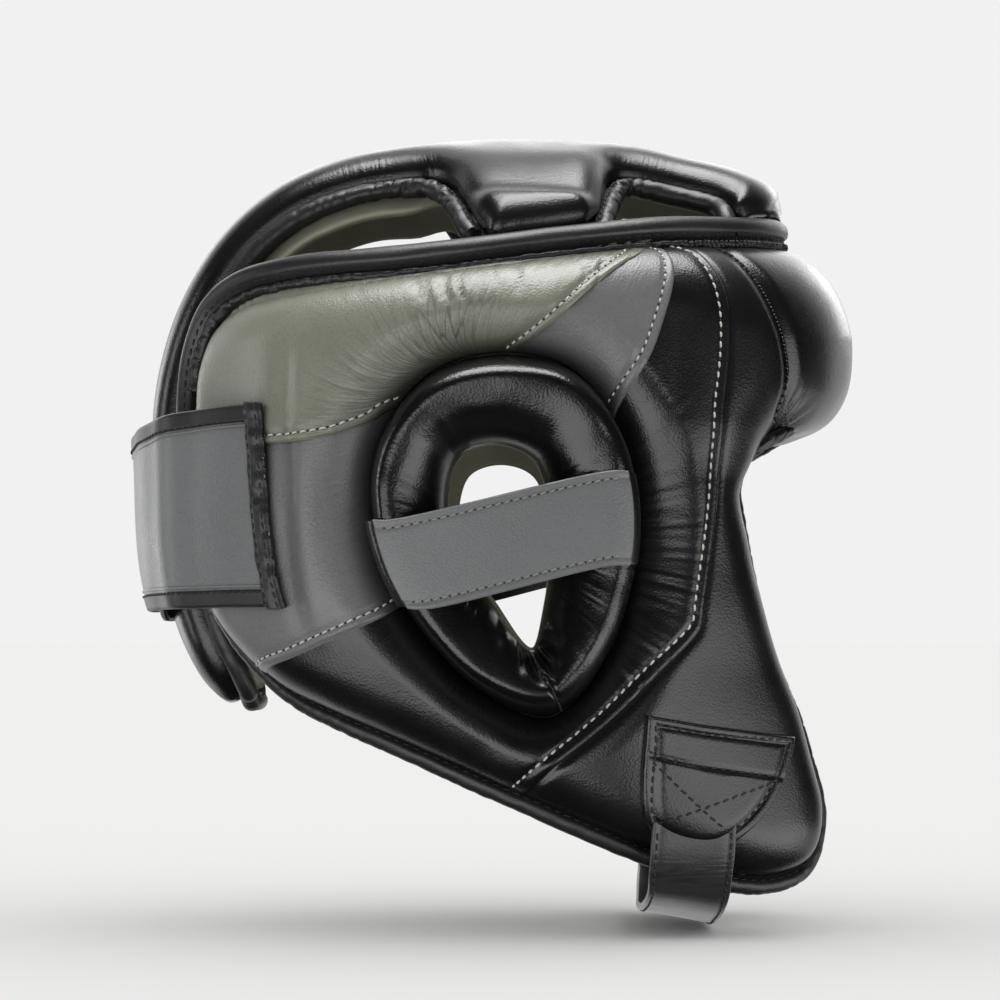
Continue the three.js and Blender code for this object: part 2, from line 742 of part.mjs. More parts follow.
const overhang = (REAR_STRAP.bindingThickness - REAR_STRAP.thickness) / 2;
const lapLift = (angle) => {
  const lap = REAR_STRAP.thickness + GAP + overhang;
  return lap * smoothstep(angle, OUTER_STRAP.liftFrom, OUTER_STRAP.liftTo);
};
const bindingLift = (angle) => lapLift(angle) - overhang;
const noLift = () => 0;
const evenly = (low, high) => [low, (low + high) / 2, high];
const betweenBindings = (top, bottom) => {
  const inset = REAR_STRAP.bindingHeight + GAP;
  return evenly(bottom + inset, top - inset);
};
const topBinding = (top) => [top - REAR_STRAP.bindingHeight, top];
const bottomBinding = (top, bottom) => [bottom, bottom + REAR_STRAP.bindingHeight];
const underLap = (top, bottom) => evenly(bottom - INNER_STRAP.shows, top - INNER_STRAP.hidden);

function rearTape() {
  const { top, bottom } = REAR_STRAP_RUN[0];
  return rearBand(TAPE, () => evenly(bottom, top), () => -TAPE.sinks, TAPE.thickness, 2);
}

// Chin strap

function chinStrap() {
  const right = CHIN_STRAP_RUN.map(({ z, rear, front }) => [
    new THREE.Vector3(rear.x, rear.y, z),
    new THREE.Vector3(front.x, front.y, z),
  ]);
  const left = right.slice(0, -1).toReversed().map((edges) => edges.map(mirrorPoint));
  const run = [...right, ...left];
  const stations = run.map((edges, i) => {
    const before = run[Math.max(i - 1, 0)];
    const after = run[Math.min(i + 1, run.length - 1)];
    const across = edges[1].clone().sub(edges[0]);
    const along = after[0].clone().sub(before[0]);
    const away = across.cross(along).normalize().multiplyScalar(CHIN_STRAP_THICKNESS);
    return { face: edges, back: edges.map((point) => point.clone().sub(away)) };
  });
  return loft(stations);
}

// Assembly

const headgear = new THREE.Group();

function add(name, geometry, material) {
  const mesh = new THREE.Mesh(geometry, material.clone());
  mesh.name = name;
  headgear.add(mesh);
  return mesh;
}

// A right-hand piece and its mirror image on the left.
function addPair(name, geometry, material) {
  add(`${name}_right`, geometry, material);
  add(`${name}_left`, geometry, material).scale.y = -1;
}

add('brow_pad', browLayer(padHeight, () => PAD_INNER), BLACK_LEATHER);
add('lining_brow', browLayer(() => 0, () => LINING), OLIVE_SUEDE);
addPair('side_pad', sidePad(), BLACK_LEATHER);
addPair('lining', sideLining(), OLIVE_SUEDE);
addPair('ear_pad', earPad(), BLACK_LEATHER);
addPair('ear_strap', earStrap(), GREY_LEATHER);

const skin = sideSkin(SKIN);
const below = ({ x, z }) => ({ x: x + GAP / 2, z: z - GAP });
const temple = [...TEMPLE_SEAM, ...TEMPLE_HEM, { x: TEMPLE_HEM.at(-1).x, z: TEMPLE_SEAM[0].z }];
const corner = [...CORNER_SEAM, ...TEMPLE_SEAM.slice(1).map(below)];
const rear = [...REAR_HEM, ...TEMPLE_HEM.map(below)];
addPair('temple_panel', trimmed(skin, temple), OLIVE_LEATHER);
addPair('corner_panel', trimmed(skin, corner), GREY_LEATHER);
addPair('rear_panel', trimmed(skin, rear), GREY_LEATHER);
addPair('chin_patch', trimmed(sideSkin(PATCH), CHIN_PATCH), BLACK_LEATHER);

add('crown_pad', crownPad(), BLACK_LEATHER);
add('lining_crown', crownLining(), OLIVE_SUEDE);
addPair('vent_binding', tube(besideCrown(FRONT_VENT), VENT_BINDING_RADIUS), BLACK_LEATHER);
const backRight = besideCrown(BACK_EDGE);
const backLeft = backRight.slice(0, -1).map(mirrorPoint).toReversed();
add('back_binding', tube([...backRight, ...backLeft], VENT_BINDING_RADIUS), BLACK_LEATHER);

const rimRight = besideShell(RIM_ROWS, RIM_BINDING_RADIUS + BINDING_GAP, RIM_BINDING_HEIGHT);
const rimLeft = rimRight.slice(1).map(mirrorPoint);
add('rim_binding', tube([...rimRight.toReversed(), ...rimLeft], RIM_BINDING_RADIUS), BLACK_LEATHER);
const edgeRight = besideShell(EDGE_ROWS, EDGE_BINDING_RADIUS + EDGE_BINDING_GAP, EDGE_BINDING_HEIGHT);
addPair('edge_binding', tube(edgeRight, EDGE_BINDING_RADIUS), BLACK_LEATHER);

const { thickness, bindingThickness } = REAR_STRAP;
add('rear_strap_right', rearBand(OUTER_STRAP, betweenBindings, lapLift, thickness), GREY_LEATHER);
add('rear_strap_left', rearBand(INNER_STRAP, underLap, noLift, thickness), GREY_LEATHER);
const topBand = rearBand(OUTER_STRAP, topBinding, bindingLift, bindingThickness);
add('rear_strap_binding_top', topBand, BLACK_LEATHER);
const bottomBand = rearBand(OUTER_STRAP, bottomBinding, bindingLift, bindingThickness);
add('rear_strap_binding_bottom', bottomBand, BLACK_LEATHER);
addPair('rear_strap_tape', rearTape(), BLACK_LEATHER);
add('chin_strap', chinStrap(), BLACK_LEATHER);

export default headgear;
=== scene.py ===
import math

import bpy
import numpy as np
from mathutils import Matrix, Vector


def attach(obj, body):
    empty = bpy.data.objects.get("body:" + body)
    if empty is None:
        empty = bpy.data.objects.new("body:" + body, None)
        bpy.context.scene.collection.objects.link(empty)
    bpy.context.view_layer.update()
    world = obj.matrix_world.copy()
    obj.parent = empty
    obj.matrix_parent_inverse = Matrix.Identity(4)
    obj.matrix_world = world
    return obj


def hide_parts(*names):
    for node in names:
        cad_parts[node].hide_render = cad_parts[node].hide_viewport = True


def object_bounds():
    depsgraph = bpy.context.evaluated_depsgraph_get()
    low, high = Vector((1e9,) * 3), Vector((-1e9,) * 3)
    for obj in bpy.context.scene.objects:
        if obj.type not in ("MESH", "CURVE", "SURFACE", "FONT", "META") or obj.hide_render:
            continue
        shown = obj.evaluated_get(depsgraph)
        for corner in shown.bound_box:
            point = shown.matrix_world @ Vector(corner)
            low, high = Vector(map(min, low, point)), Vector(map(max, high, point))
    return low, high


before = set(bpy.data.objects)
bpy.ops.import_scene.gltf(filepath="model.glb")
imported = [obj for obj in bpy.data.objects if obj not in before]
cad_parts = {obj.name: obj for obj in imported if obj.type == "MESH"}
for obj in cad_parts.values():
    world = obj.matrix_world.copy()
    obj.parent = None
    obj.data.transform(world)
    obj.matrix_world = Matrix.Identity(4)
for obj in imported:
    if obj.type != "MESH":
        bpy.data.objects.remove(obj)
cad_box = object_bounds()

# Linings of the sides: sheets of olive suede, cut out round the ear and sewn to the pads' edges.
# They are shaped on the head form, level ovals from the crown down to the jaw, so the form is given here:
# height, middle, half length and half width in millimetres.

HEAD_FORM = (
    (10, 2, 82, 63), (-20, 2, 92, 71), (-60, 2, 98, 76.5), (-100, 3, 100, 78), (-140, 5, 100, 77),
    (-165, 11, 98, 74.5), (-185, 20, 96, 71.5), (-200, 27, 93, 69), (-220, 36, 88, 65), (-250, 46, 78, 58),
)
MM_PER_DEGREE = 1.7  # along the wall, for one degree round the head
# The shell's bound edge on the right: degrees round the head from the front, and height
BROW_TOP = ((-12, -21.8), (0, -21.5), (14, -22.2), (27, -23.2))
SIDE_EDGE = (
    (41, -24.5), (55, -26), (79, -31), (102, -36), (128, -39), (141, -43), (149, -51), (153, -64),
    (154, -82), (152.5, -106), (148.5, -133), (145, -152), (141, -164), (136, -174), (128, -181.5),
    (119, -189), (101, -206), (81, -223.5), (64, -233.8), (51, -235), (40.5, -229.5), (34.5, -215),
    (34, -195), (34, -175), (36, -150), (38.8, -125), (40.4, -107), (34.5, -92),
)
BROW_BOTTOM = ((22, -90), (11, -88.2), (0, -87.5), (-12, -88))
BROW_SEAM = (
    (34.5, -92), (35.2, -84), (34.6, -76.5), (34.8, -69), (36, -58.5), (37.6, -47.5), (39.2, -37),
    (40.6, -30), (41, -24.5),
)
EAR_CENTRE = (87, -124)
EAR_HOLE = (
    (88, -94.5), (81.5, -98.5), (78.5, -112), (78.5, -128), (80.5, -145), (85.5, -161), (90.5, -145),
    (95, -130), (97, -113), (94.5, -98.5),
)
LINING = 1.5  # thickness of the suede
HEAD_MIDDLE = (5, 0, -120)
TURN = 2 * math.pi


def mixed(a, b, share):
    return a + (b - a) * share


def eased(x, low, high):
    share = np.clip((x - low) / (high - low), 0, 1)
    return share * share * (3 - 2 * share)


def hermite(t, start, leave, end, arrive):
    return ((2 * t**3 - 3 * t**2 + 1) * start + (t**3 - 2 * t**2 + t) * leave
            + (3 * t**2 - 2 * t**3) * end + (t**3 - t**2) * arrive)


def smooth_table(rows):
    """The columns of a table as smooth curves over its first column."""
    rows = np.array(sorted(rows), float)
    key, values = rows[:, 0], rows[:, 1:]
    secant = np.diff(values, axis=0) / np.diff(key)[:, None]
    slope = np.zeros_like(values)
    slope[1:-1] = (secant[1:] + secant[:-1]) / 2

    def read(at):
        at = np.clip(np.asarray(at, float), key[0], key[-1])
        i = np.clip(np.searchsorted(key, at, side="right") - 1, 0, len(key) - 2)
        span = (key[i + 1] - key[i])[..., None]
        t = (at - key[i])[..., None] / span
        return hermite(t, values[i], span * slope[i], values[i + 1], span * slope[i + 1])

    return read


def smooth_line(rows, closed=False):
    """A smooth line through rows of points, read at any row number."""
    rows = np.array(rows, float)
    last = len(rows) if closed else len(rows) - 1
    if closed:
        points = np.vstack([rows[-1:], rows, rows[:2]])
    else:
        points = np.vstack([2 * rows[0] - rows[1], rows, 2 * rows[-1] - rows[-2]])

    def read(at):
        at = np.asarray(at, float)
        at = at % last if closed else np.clip(at, 0, last)
        i = np.minimum(at.astype(int), last - 1)
        t = (at - i)[..., None]
        p0, p1, p2, p3 = (points[i + k] for k in range(4))
        d0, d1, d2 = (np.maximum(np.sqrt(np.linalg.norm(b - a, axis=-1, keepdims=True)), 1e-3)
                      for a, b in ((p0, p1), (p1, p2), (p2, p3)))
        leave = ((p1 - p0) / d0 - (p2 - p0) / (d0 + d1) + (p2 - p1) / d1) * d1
        arrive = ((p2 - p1) / d1 - (p3 - p1) / (d1 + d2) + (p3 - p2) / d2) * d1
        return hermite(t, p1, leave, p2, arrive)

    return read


head_form = smooth_table(HEAD_FORM)


def flat(rows):
    """Rows of degrees and height as flat millimetres: forward of the ear line, and height."""
    rows = np.array(rows, float)
    return np.stack([(90 - rows[..., 0]) * MM_PER_DEGREE, rows[..., 1]], -1)


def degrees_round(u):
    return 90 - u / MM_PER_DEGREE


def on_wall(u, z, out):
    """Points round the head form, standing out level from it."""
    middle, length, width = np.moveaxis(head_form(z), -1, 0)
    turn = np.radians(degrees_round(u))
    c, s = np.cos(turn), np.sin(turn)
    size = np.hypot(c / length, s / width)
    x = middle + length * c + out * c / length / size
    y = -width * s - out * s / width / size
    return np.stack(np.broadcast_arrays(x, y, z), -1)


ear_centre = flat(EAR_CENTRE)


def direction_of(points):
    spoke = points - ear_centre
    return np.arctan2(spoke[..., 1], spoke[..., 0])


def radius_by_direction(points):
    """An outline round the ear as a radius for each direction from the ear's centre."""
    direction = direction_of(points) % TURN
    order = np.argsort(direction)
    radius = np.linalg.norm(points - ear_centre, axis=-1)[order]
    direction = direction[order]
    return lambda at: np.interp(at, direction, radius, period=TURN)


SHELL_EDGE = BROW_TOP + SIDE_EDGE + BROW_BOTTOM
shell_edge = smooth_line(flat(SHELL_EDGE))


def line_of(rows):
    return smooth_line(flat(rows))(np.linspace(0, len(rows) - 1, 12 * len(rows)))


def ear_loop(rows, count):
    """A closed outline round the ear as a radius for each direction."""
    return radius_by_direction(smooth_line(flat(rows), True)(np.linspace(0, len(rows), count)[:-1]))


brow_seam_line = line_of(BROW_SEAM)
side_rows = np.linspace(len(BROW_TOP), len(BROW_TOP + SIDE_EDGE) - 1, 400)
side_radius = radius_by_direction(np.vstack([shell_edge(side_rows), brow_seam_line[1:-1]]))
hole_radius = ear_loop(EAR_HOLE, 300)


def spoke_point(direction, radius):
    return ear_centre[0] + radius * np.cos(direction), ear_centre[1] + radius * np.sin(direction)


def noise(x, y, seed, cells=256):
    """Smooth noise from -1 to 1 with one hill or hollow for each unit."""
    table = np.random.default_rng(seed).uniform(-1, 1, (cells, cells))
    i, j = np.floor(x).astype(int), np.floor(y).astype(int)
    s, t = x - i, y - j
    s, t = s * s * (3 - 2 * s), t * t * (3 - 2 * t)

    def corner(a, b):
        return table[(i + a) % cells, (j + b) % cells]

    return mixed(mixed(corner(0, 0), corner(1, 0), s), mixed(corner(0, 1), corner(1, 1), s), t)


def quads_between(ids):
    return np.stack([ids[:-1, :-1], ids[1:, :-1], ids[1:, 1:], ids[:-1, 1:]], -1).reshape(-1, 4)


def loft(points, around=False, creases=None, look=0):
    """A closed skin through stations that are each a closed loop of points, in millimetres."""
    count, across = points.shape[:2]
    ids = np.arange(count * across).reshape(count, across)
    ids = np.vstack([ids, ids[:1]]) if around else ids
    ids = np.hstack([ids, ids[:, :1]])
    quads = quads_between(ids)
    caps = [] if around else [ids[0, :-1][::-1], ids[-1, :-1]]
    # Surface millimetres along and across, for the creases
    step = np.linalg.norm(np.diff(np.concatenate([points, points[:1]]), axis=0), axis=-1).mean(1)
    along = np.concatenate([[0], np.cumsum(step)])[:len(ids)]
    step = np.linalg.norm(np.diff(points, axis=1), axis=-1).mean(0)
    over = np.concatenate([[0], np.cumsum(step), [np.sum(step) + 1]])
    place = np.stack(np.meshgrid(along, over, indexing="ij"), -1)
    spots = place.reshape(-1, 2)[quads_between(np.arange(len(along) * len(over)).reshape(len(along), -1))]
    corners = points.reshape(-1, 3)
    a, b, c, d = (corners[quads[:, k]] for k in range(4))
    volume = (np.cross(c - a, d - b) * (a + b + c + d - 4 * corners.mean(0))).sum()
    if volume < 0:
        quads, spots, caps = quads[:, ::-1], spots[:, ::-1], [cap[::-1] for cap in caps]
    marks = np.zeros(count * across) if creases is None else creases.reshape(-1)
    return {"points": corners, "quads": quads, "caps": caps, "spots": spots, "creases": marks, "look": look}


def mirrored(part):
    return {**part, "points": part["points"] * (1, -1, 1), "quads": part["quads"][:, ::-1],
            "spots": part["spots"][:, ::-1], "caps": [cap[::-1] for cap in part["caps"]]}


headgear = bpy.data.collections.new("headgear")
bpy.context.scene.collection.children.link(headgear)


def piece(name, parts, looks, nodes):
    """One object from lofted parts, which rides on the body and stands for CAD nodes."""
    starts = np.cumsum([0] + [len(p["points"]) for p in parts])
    quads = np.vstack([p["quads"] + s for p, s in zip(parts, starts)])
    caps = [cap + s for p, s in zip(parts, starts) for cap in p["caps"]]
    sizes = np.array([4] * len(quads) + [len(cap) for cap in caps])
    corners = np.concatenate([quads.reshape(-1), *caps]).astype(np.int32)
    mesh = bpy.data.meshes.new(name)
    mesh.vertices.add(starts[-1])
    mesh.vertices.foreach_set("co", (np.vstack([p["points"] for p in parts]) / 1000).reshape(-1))
    mesh.loops.add(len(corners))
    mesh.loops.foreach_set("vertex_index", corners)
    mesh.polygons.add(len(sizes))
    mesh.polygons.foreach_set("loop_start", np.concatenate([[0], np.cumsum(sizes)[:-1]]).astype(np.int32))
    look = [np.full(len(p["quads"]), p["look"]) for p in parts]
    look += [np.full(len(p["caps"]), p["look"]) for p in parts]
    mesh.polygons.foreach_set("material_index", np.concatenate(look).astype(np.int32))
    mesh.polygons.foreach_set("use_smooth", np.ones(len(sizes), bool))
    spots = np.zeros((len(corners), 2))
    spots[:quads.size] = np.vstack([p["spots"].reshape(-1, 2) for p in parts])
    mesh.uv_layers.new(name="surface_mm").data.foreach_set("uv", spots.reshape(-1))
    marks = mesh.attributes.new("creases", "FLOAT", "POINT")
    marks.data.foreach_set("value", np.concatenate([p["creases"] for p in parts]))
    mesh.update(calc_edges=True)
    mesh.validate()
    made = bpy.data.objects.new(name, mesh)
    headgear.objects.link(made)
    for finish in looks:
        mesh.materials.append(finish)
    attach(made, "root")
    if nodes:
        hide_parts(*nodes)
    return made


def pair(name, parts, looks, node=None):
    """A right-hand piece and its mirror image on the left."""
    right = piece(f"{name}_right", parts, looks, [f"{node}_right"] if node else [])
    left = piece(f"{name}_left", [mirrored(p) for p in parts], looks, [f"{node}_left"] if node else [])
    return right, left


def colour(code):
    """An sRGB hex value as linear red, green, blue and alpha."""
    parts = [int(code[i:i + 2], 16) / 255 for i in (1, 3, 5)]
    return (*[p / 12.92 if p <= 0.04045 else ((p + 0.055) / 1.055) ** 2.4 for p in parts], 1)


def add(tree, kind, settings, links=()):
    """Adds a node: its settings and socket values by name, and links from sockets to its inputs.
    By number, a Mix node has its share at 0, vectors at 4 and 5 and colours at 6 and 7, and a Map Range its
    value at 0 and its four limits after it.
    """
    made = tree.nodes.new(kind)
    for key, value in settings.items():
        if isinstance(key, int) or key in made.inputs:
            made.inputs[key].default_value = value
        else:
            setattr(made, key, value)
    for key, source in dict(links).items():
        tree.links.new(source, made.inputs[key])
    return made


def shade(code, level):
    return (*[min(c * level, 1) for c in colour(code)[:3]], 1)


def blank(name):
    """A new material, its empty node tree, and millimetre places: in space, and along the surface."""
    material = bpy.data.materials.new(name)
    material.use_nodes = True
    tree = material.node_tree
    tree.nodes.clear()
    place = add(tree, "ShaderNodeTexCoord", {})
    mm = add(tree, "ShaderNodeMapping", {"Scale": (1000, 1000, 1000)}, {"Vector": place.outputs["Object"]})
    return material, tree, mm.outputs[0], place.outputs["UV"]


# Suede split leather: a short matt nap, brushed, so no gloss, a pale bloom at its edges and a cloudy tone.
# The nap is drawn coarser than real fibres, so that it shows.
def suede(name, code, cloud_mm=9, nap_mm=0.7):
    material, tree, mm, _ = blank(name)
    cloud = add(tree, "ShaderNodeTexNoise", {"Scale": 1 / cloud_mm, "Detail": 3.0}, {"Vector": mm})
    nap = add(tree, "ShaderNodeTexNoise", {"Scale": 1 / nap_mm, "Detail": 4.0}, {"Vector": mm})
    tone = add(tree, "ShaderNodeMix", {"data_type": "RGBA", 6: shade(code, 0.8), 7: shade(code, 1.2)},
               {0: cloud.outputs[0]})
    relief = add(tree, "ShaderNodeBump", {"Strength": 0.5, "Distance": 0.0002}, {"Height": nap.outputs[0]})
    surface = add(tree, "ShaderNodeBsdfPrincipled",
                  {"Roughness": 0.95, "Sheen Weight": 0.25, "Sheen Roughness": 0.5,
                   "Specular IOR Level": 0.2},
                  {"Base Color": tone.outputs[2], "Normal": relief.outputs[0]})
    add(tree, "ShaderNodeOutputMaterial", {}, {"Surface": surface.outputs[0]})
    return material


olive_suede = suede("olive_suede", "#5e5d4e")

directions = np.linspace(0, TURN, 420, endpoint=False)[:, None]


def side_lining():
    rows = np.linspace(0, 1, 14)
    radius = mixed(hole_radius(directions), side_radius(directions), rows)
    u, z = spoke_point(directions, radius)
    sag = 0.35 * noise(u / 17, z / 17, 3) * np.minimum(1, 8 * rows * (1 - rows))
    inner, outer = on_wall(u, z, sag), on_wall(u, z, LINING)
    return loft(np.concatenate([outer, inner[:, ::-1]], 1), around=True)


for made in pair("side_lining", [side_lining()], [olive_suede], "lining"):
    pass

# Side pads: foam under smooth black leather, from temple to jaw, with a hole for the ear ring.
# The cover is two panels: one round the ear, lapped over the cheek's and sewn down with pale thread
# a little inside its folded edge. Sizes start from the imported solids.

PAD_BACK = 1.8  # the pads' back, out from the head form
EDGE_OUT = 8  # their sewn edges
SIDE_PAD = {"thickness": 23, "round": 18, "fullness": 2.2}
BROW_PAD = {"thickness": 28.9, "round": 33, "fullness": 2.05}
CHEEK_THICKNESS = 19
REAR_THINNING = 8  # the padding thins towards the upper rear edge
GROOVE = {"round": 17, "fullness": 1.5}  # the valley round the ear ring
STRIP = {"rim": 2.8, "rim_rear": 3.2, "rear": 5, "front": 2.6}  # widths of the flat strip beside the binding
BROW_VALLEY = 2.2  # depth of the seam between brow and side
PAD_UNEVEN = 0.22
GATHER_DEPTH = 1.1
PUCKER = {"coarse": 0.2, "fine": 0.13}
STRAP_PULL = ((119.5, 2.2, 0.9), (122.6, 1.8, -1.0))  # folds by the rear strap: degrees, spread, height
CHEEK_SEAM = (
    (53.5, -23.5), (51.2, -26.7), (49.6, -28.9), (48.8, -33), (48.1, -38.5), (47.8, -45.5), (47.8, -53.7),
    (48.2, -62.6), (49, -72.4), (49.8, -80.9), (50.3, -91.9), (50.6, -101.6), (51.4, -115.6), (52.9, -131.9),
    (55, -146.5), (55.9, -152.2), (57, -155.4), (59.6, -159.8), (66.7, -170.1), (74.1, -180.1),
    (81.3, -188.8), (89.2, -197.5), (97.6, -206.9), (103, -212),
)
LAP = 1.3  # thickness of a folded leather edge
EAR_PANEL_SPAN = (203, 428)  # degrees round the ear
RING_GAP = 0.3  # between the ear ring and the leather round it
STITCH_INSET = 3.2
FOLD = {"ridge": 0.25, "dip": 0.55}  # along a folded edge, and where it is sewn
EAR_OUTLINE = (  # of the ring, degrees and height
    (87, -65), (75, -69.5), (67.5, -86), (64, -108), (64.5, -133), (70, -157), (79.5, -175.5),
    (88.5, -183), (96.5, -176), (104, -154), (108.5, -128), (109.5, -105), (106, -86), (98, -70.5),
)
shell_line = shell_edge(np.linspace(0, len(SHELL_EDGE) - 1, 216))
ring_radius = ear_loop(EAR_OUTLINE, 400)


def bump(x, middle, width):
    return np.exp(-(((x - middle) / width) ** 2))


def distance_to(u, z, line, block=20000):
    """The distance of flat places from a line, worked out for a block of places at a time."""
    points = np.stack(np.broadcast_arrays(u, z), -1)
    shape = points.shape[:-1]
    points = points.reshape(-1, 2)
    start, step = line[:-1], np.diff(line, axis=0)
    size = (step**2).sum(-1)
    nearest = np.empty(len(points))
    for i in range(0, len(points), block):
        reach = points[i:i + block, None] - start
        share = np.clip((reach * step).sum(-1) / size, 0, 1)
        nearest[i:i + block] = np.sqrt(((reach - share[..., None] * step) ** 2).sum(-1).min(1))
    return nearest.reshape(shape)


def from_ring(u, z):
    """How far flat places lie outside the ear ring."""
    spoke = np.stack([u, z], -1)
    return np.linalg.norm(spoke - ear_centre, axis=-1) - ring_radius(direction_of(spoke))


def pillow(distance, rounding, fullness):
    """How full padding is at a distance from its sewn edge."""
    return (1 - (1 - np.clip(distance / rounding, 0, 1)) ** fullness) ** (1 / fullness)


def strip_width(angle, z):
    """Width of the flat gathered strip beside the binding, where the padding hasn't begun."""
    top = eased(z, -75, -55) * (STRIP["rim"] + STRIP["rim_rear"] * eased(angle, 98, 130))
    rear = (1 - eased(z, -75, -55)) * eased(angle, 128, 142) * eased(z, -150, -125)
    front = (1 - eased(angle, 46, 58)) * (1 - eased(z, -112, -98)) * eased(z, -236, -212)
    return top + STRIP["rear"] * rear + STRIP["front"] * front


def pad_out(u, z):
    """The padded shell's outer face, out from the head form."""
    angle = degrees_round(u)
    front = (1 - eased(angle, 36, 64)) * eased(z, -106, -86)
    cheek = 1 - eased(z, -215, -140)
    thickness = mixed(mixed(SIDE_PAD["thickness"], CHEEK_THICKNESS, cheek), BROW_PAD["thickness"], front)
    thickness = thickness - REAR_THINNING * eased(angle, 122, 146) * eased(z, -118, -88)
    rounding = mixed(SIDE_PAD["round"], BROW_PAD["round"], front)
    fullness = mixed(SIDE_PAD["fullness"], BROW_PAD["fullness"], front)
    edge, strip = distance_to(u, z, shell_line), strip_width(angle, z)
    padded = EDGE_OUT + (thickness - EDGE_OUT) * pillow(np.maximum(edge - strip, 0), rounding, fullness)
    groove = pillow(np.maximum(from_ring(u, z), 0), GROOVE["round"], GROOVE["fullness"])
    valley = BROW_VALLEY * bump(distance_to(u, z, brow_seam_line), 0, 3) * eased(z, -92, -80)
    soft = PAD_UNEVEN * noise(u / 19, z / 19, 5) * (1 - 0.85 * front)
    for at, spread, height in STRAP_PULL:
        soft = soft + height * bump(angle, at, spread) * eased(z, -165, -140) * (1 - eased(z, -72, -52))
    gathers = GATHER_DEPTH * np.abs(noise((u - z) / 2.1, edge / 30, 6))
    gathers = gathers * (1 - eased(edge, 0.6 * strip, strip + 1.6))
    gathers = gathers * eased(strip, 0.5, 2) * eased(z, -155, -112)
    return mixed(EDGE_OUT, padded, groove) - valley + soft - gathers


def folded_edge(distance, under, rest):
    """Height of a lapped leather panel over its pad, in from its folded and stitched edge."""
    fold = np.sqrt(1 - (1 - np.clip(distance / LAP, 0, 1)) ** 2)
    ridge = FOLD["ridge"] * bump(distance, LAP, 0.9)
    lap = under + LAP * fold + ridge - FOLD["dip"] * bump(distance, STITCH_INSET, 0.85)
    return mixed(lap, rest, eased(distance, 5, 16))


cheek_seam_line = line_of(CHEEK_SEAM)
cheek_seam_radius = radius_by_direction(cheek_seam_line)
jaw_end, rim_end = direction_of(cheek_seam_line[-1]) % TURN, direction_of(cheek_seam_line[0]) % TURN + TURN


def from_seam(direction):
    """The cheek seam's radius, or none where the seam doesn't pass."""
    inside = (direction > jaw_end) & (direction < rim_end)
    return np.where(inside, cheek_seam_radius(direction), np.inf)


def crowded(width, fine=0.35, coarse=1.15, span=4.5):
    """Shares across a width in millimetres, closer together near both ends."""
    half = [0]
    while half[-1] < width / 2:
        half.append(half[-1] + mixed(fine, coarse, min(half[-1] / span, 1) ** 1.5))
    half = np.array(half) / half[-1] / 2
    return np.concatenate([half, 1 - half[-2::-1]])


def few(count, columns):
    """Numbers of a few evenly spaced columns, last first, for the plain back of a pad."""
    return np.unique(np.linspace(0, count - 1, columns).astype(int))[::-1]


def closed_sheet(u, z, out, back, creases=None):
    """A lofted pad or panel between its outer face and a plain back of a few rows."""
    keep = few(u.shape[1], 7)
    face = on_wall(u, z, out)
    behind = on_wall(u[:, keep], z[:, keep], back if np.isscalar(back) else back[:, keep])
    marks = None if creases is None else np.hstack([creases, np.zeros((len(u), len(keep)))])
    return loft(np.concatenate([face, behind], 1), creases=marks)


def ear_puckers(u, z):
    """Soft ripples that run out from the ear ring, where the cover is pulled in round it."""
    direction, reach = direction_of(np.stack([u, z], -1)), from_ring(u, z)
    pulled = 0.25 + 0.75 * eased(noise(direction * 3.1, 0 * reach, 13), -0.2, 0.5)
    ripple = PUCKER["coarse"] * noise(direction * 21, reach / 22, 12)
    ripple = ripple + PUCKER["fine"] * noise(direction * 47, reach / 12, 14)
    return ripple * pulled * (1 - eased(reach, 4, 26)) * eased(reach, 0, 3)


def ear_panel_out(u, z):
    distance = distance_to(u, z, cheek_seam_line)
    return pad_out(u, z) + folded_edge(distance, 0, 0) + ear_puckers(u, z)


def ear_panel():
    """Black leather round the front and the underside of the ear."""
    turn = np.linspace(*np.radians(EAR_PANEL_SPAN), 350)[:, None]
    outer = np.minimum(side_radius(turn), from_seam(turn))
    rows = crowded(60)
    u, z = spoke_point(turn, mixed(ring_radius(turn) + RING_GAP, outer, rows))
    near_ear = 1 - eased(from_ring(u, z), 5, 26)
    patchy = eased(noise(u / 16, z / 11, 8), -0.2, 0.7)
    return closed_sheet(u, z, ear_panel_out(u, z), PAD_BACK, creases=patchy * (0.04 + 0.3 * near_ear))


def cheek_panel():
    turn = np.linspace(jaw_end, rim_end, 290)[1:-1, None]
    outer = side_radius(turn)
    inner = np.minimum(cheek_seam_radius(turn) - 2.4, outer - 0.5)
    u, z = spoke_point(turn, mixed(inner, outer, crowded(52)))
    dip = -1.1 * bump(distance_to(u, z, cheek_seam_line), 0, 1.3)
    patchy = 0.06 * eased(noise(u / 20, z / 14, 9), 0, 0.8)
    return closed_sheet(u, z, pad_out(u, z) + dip, PAD_BACK, creases=patchy)


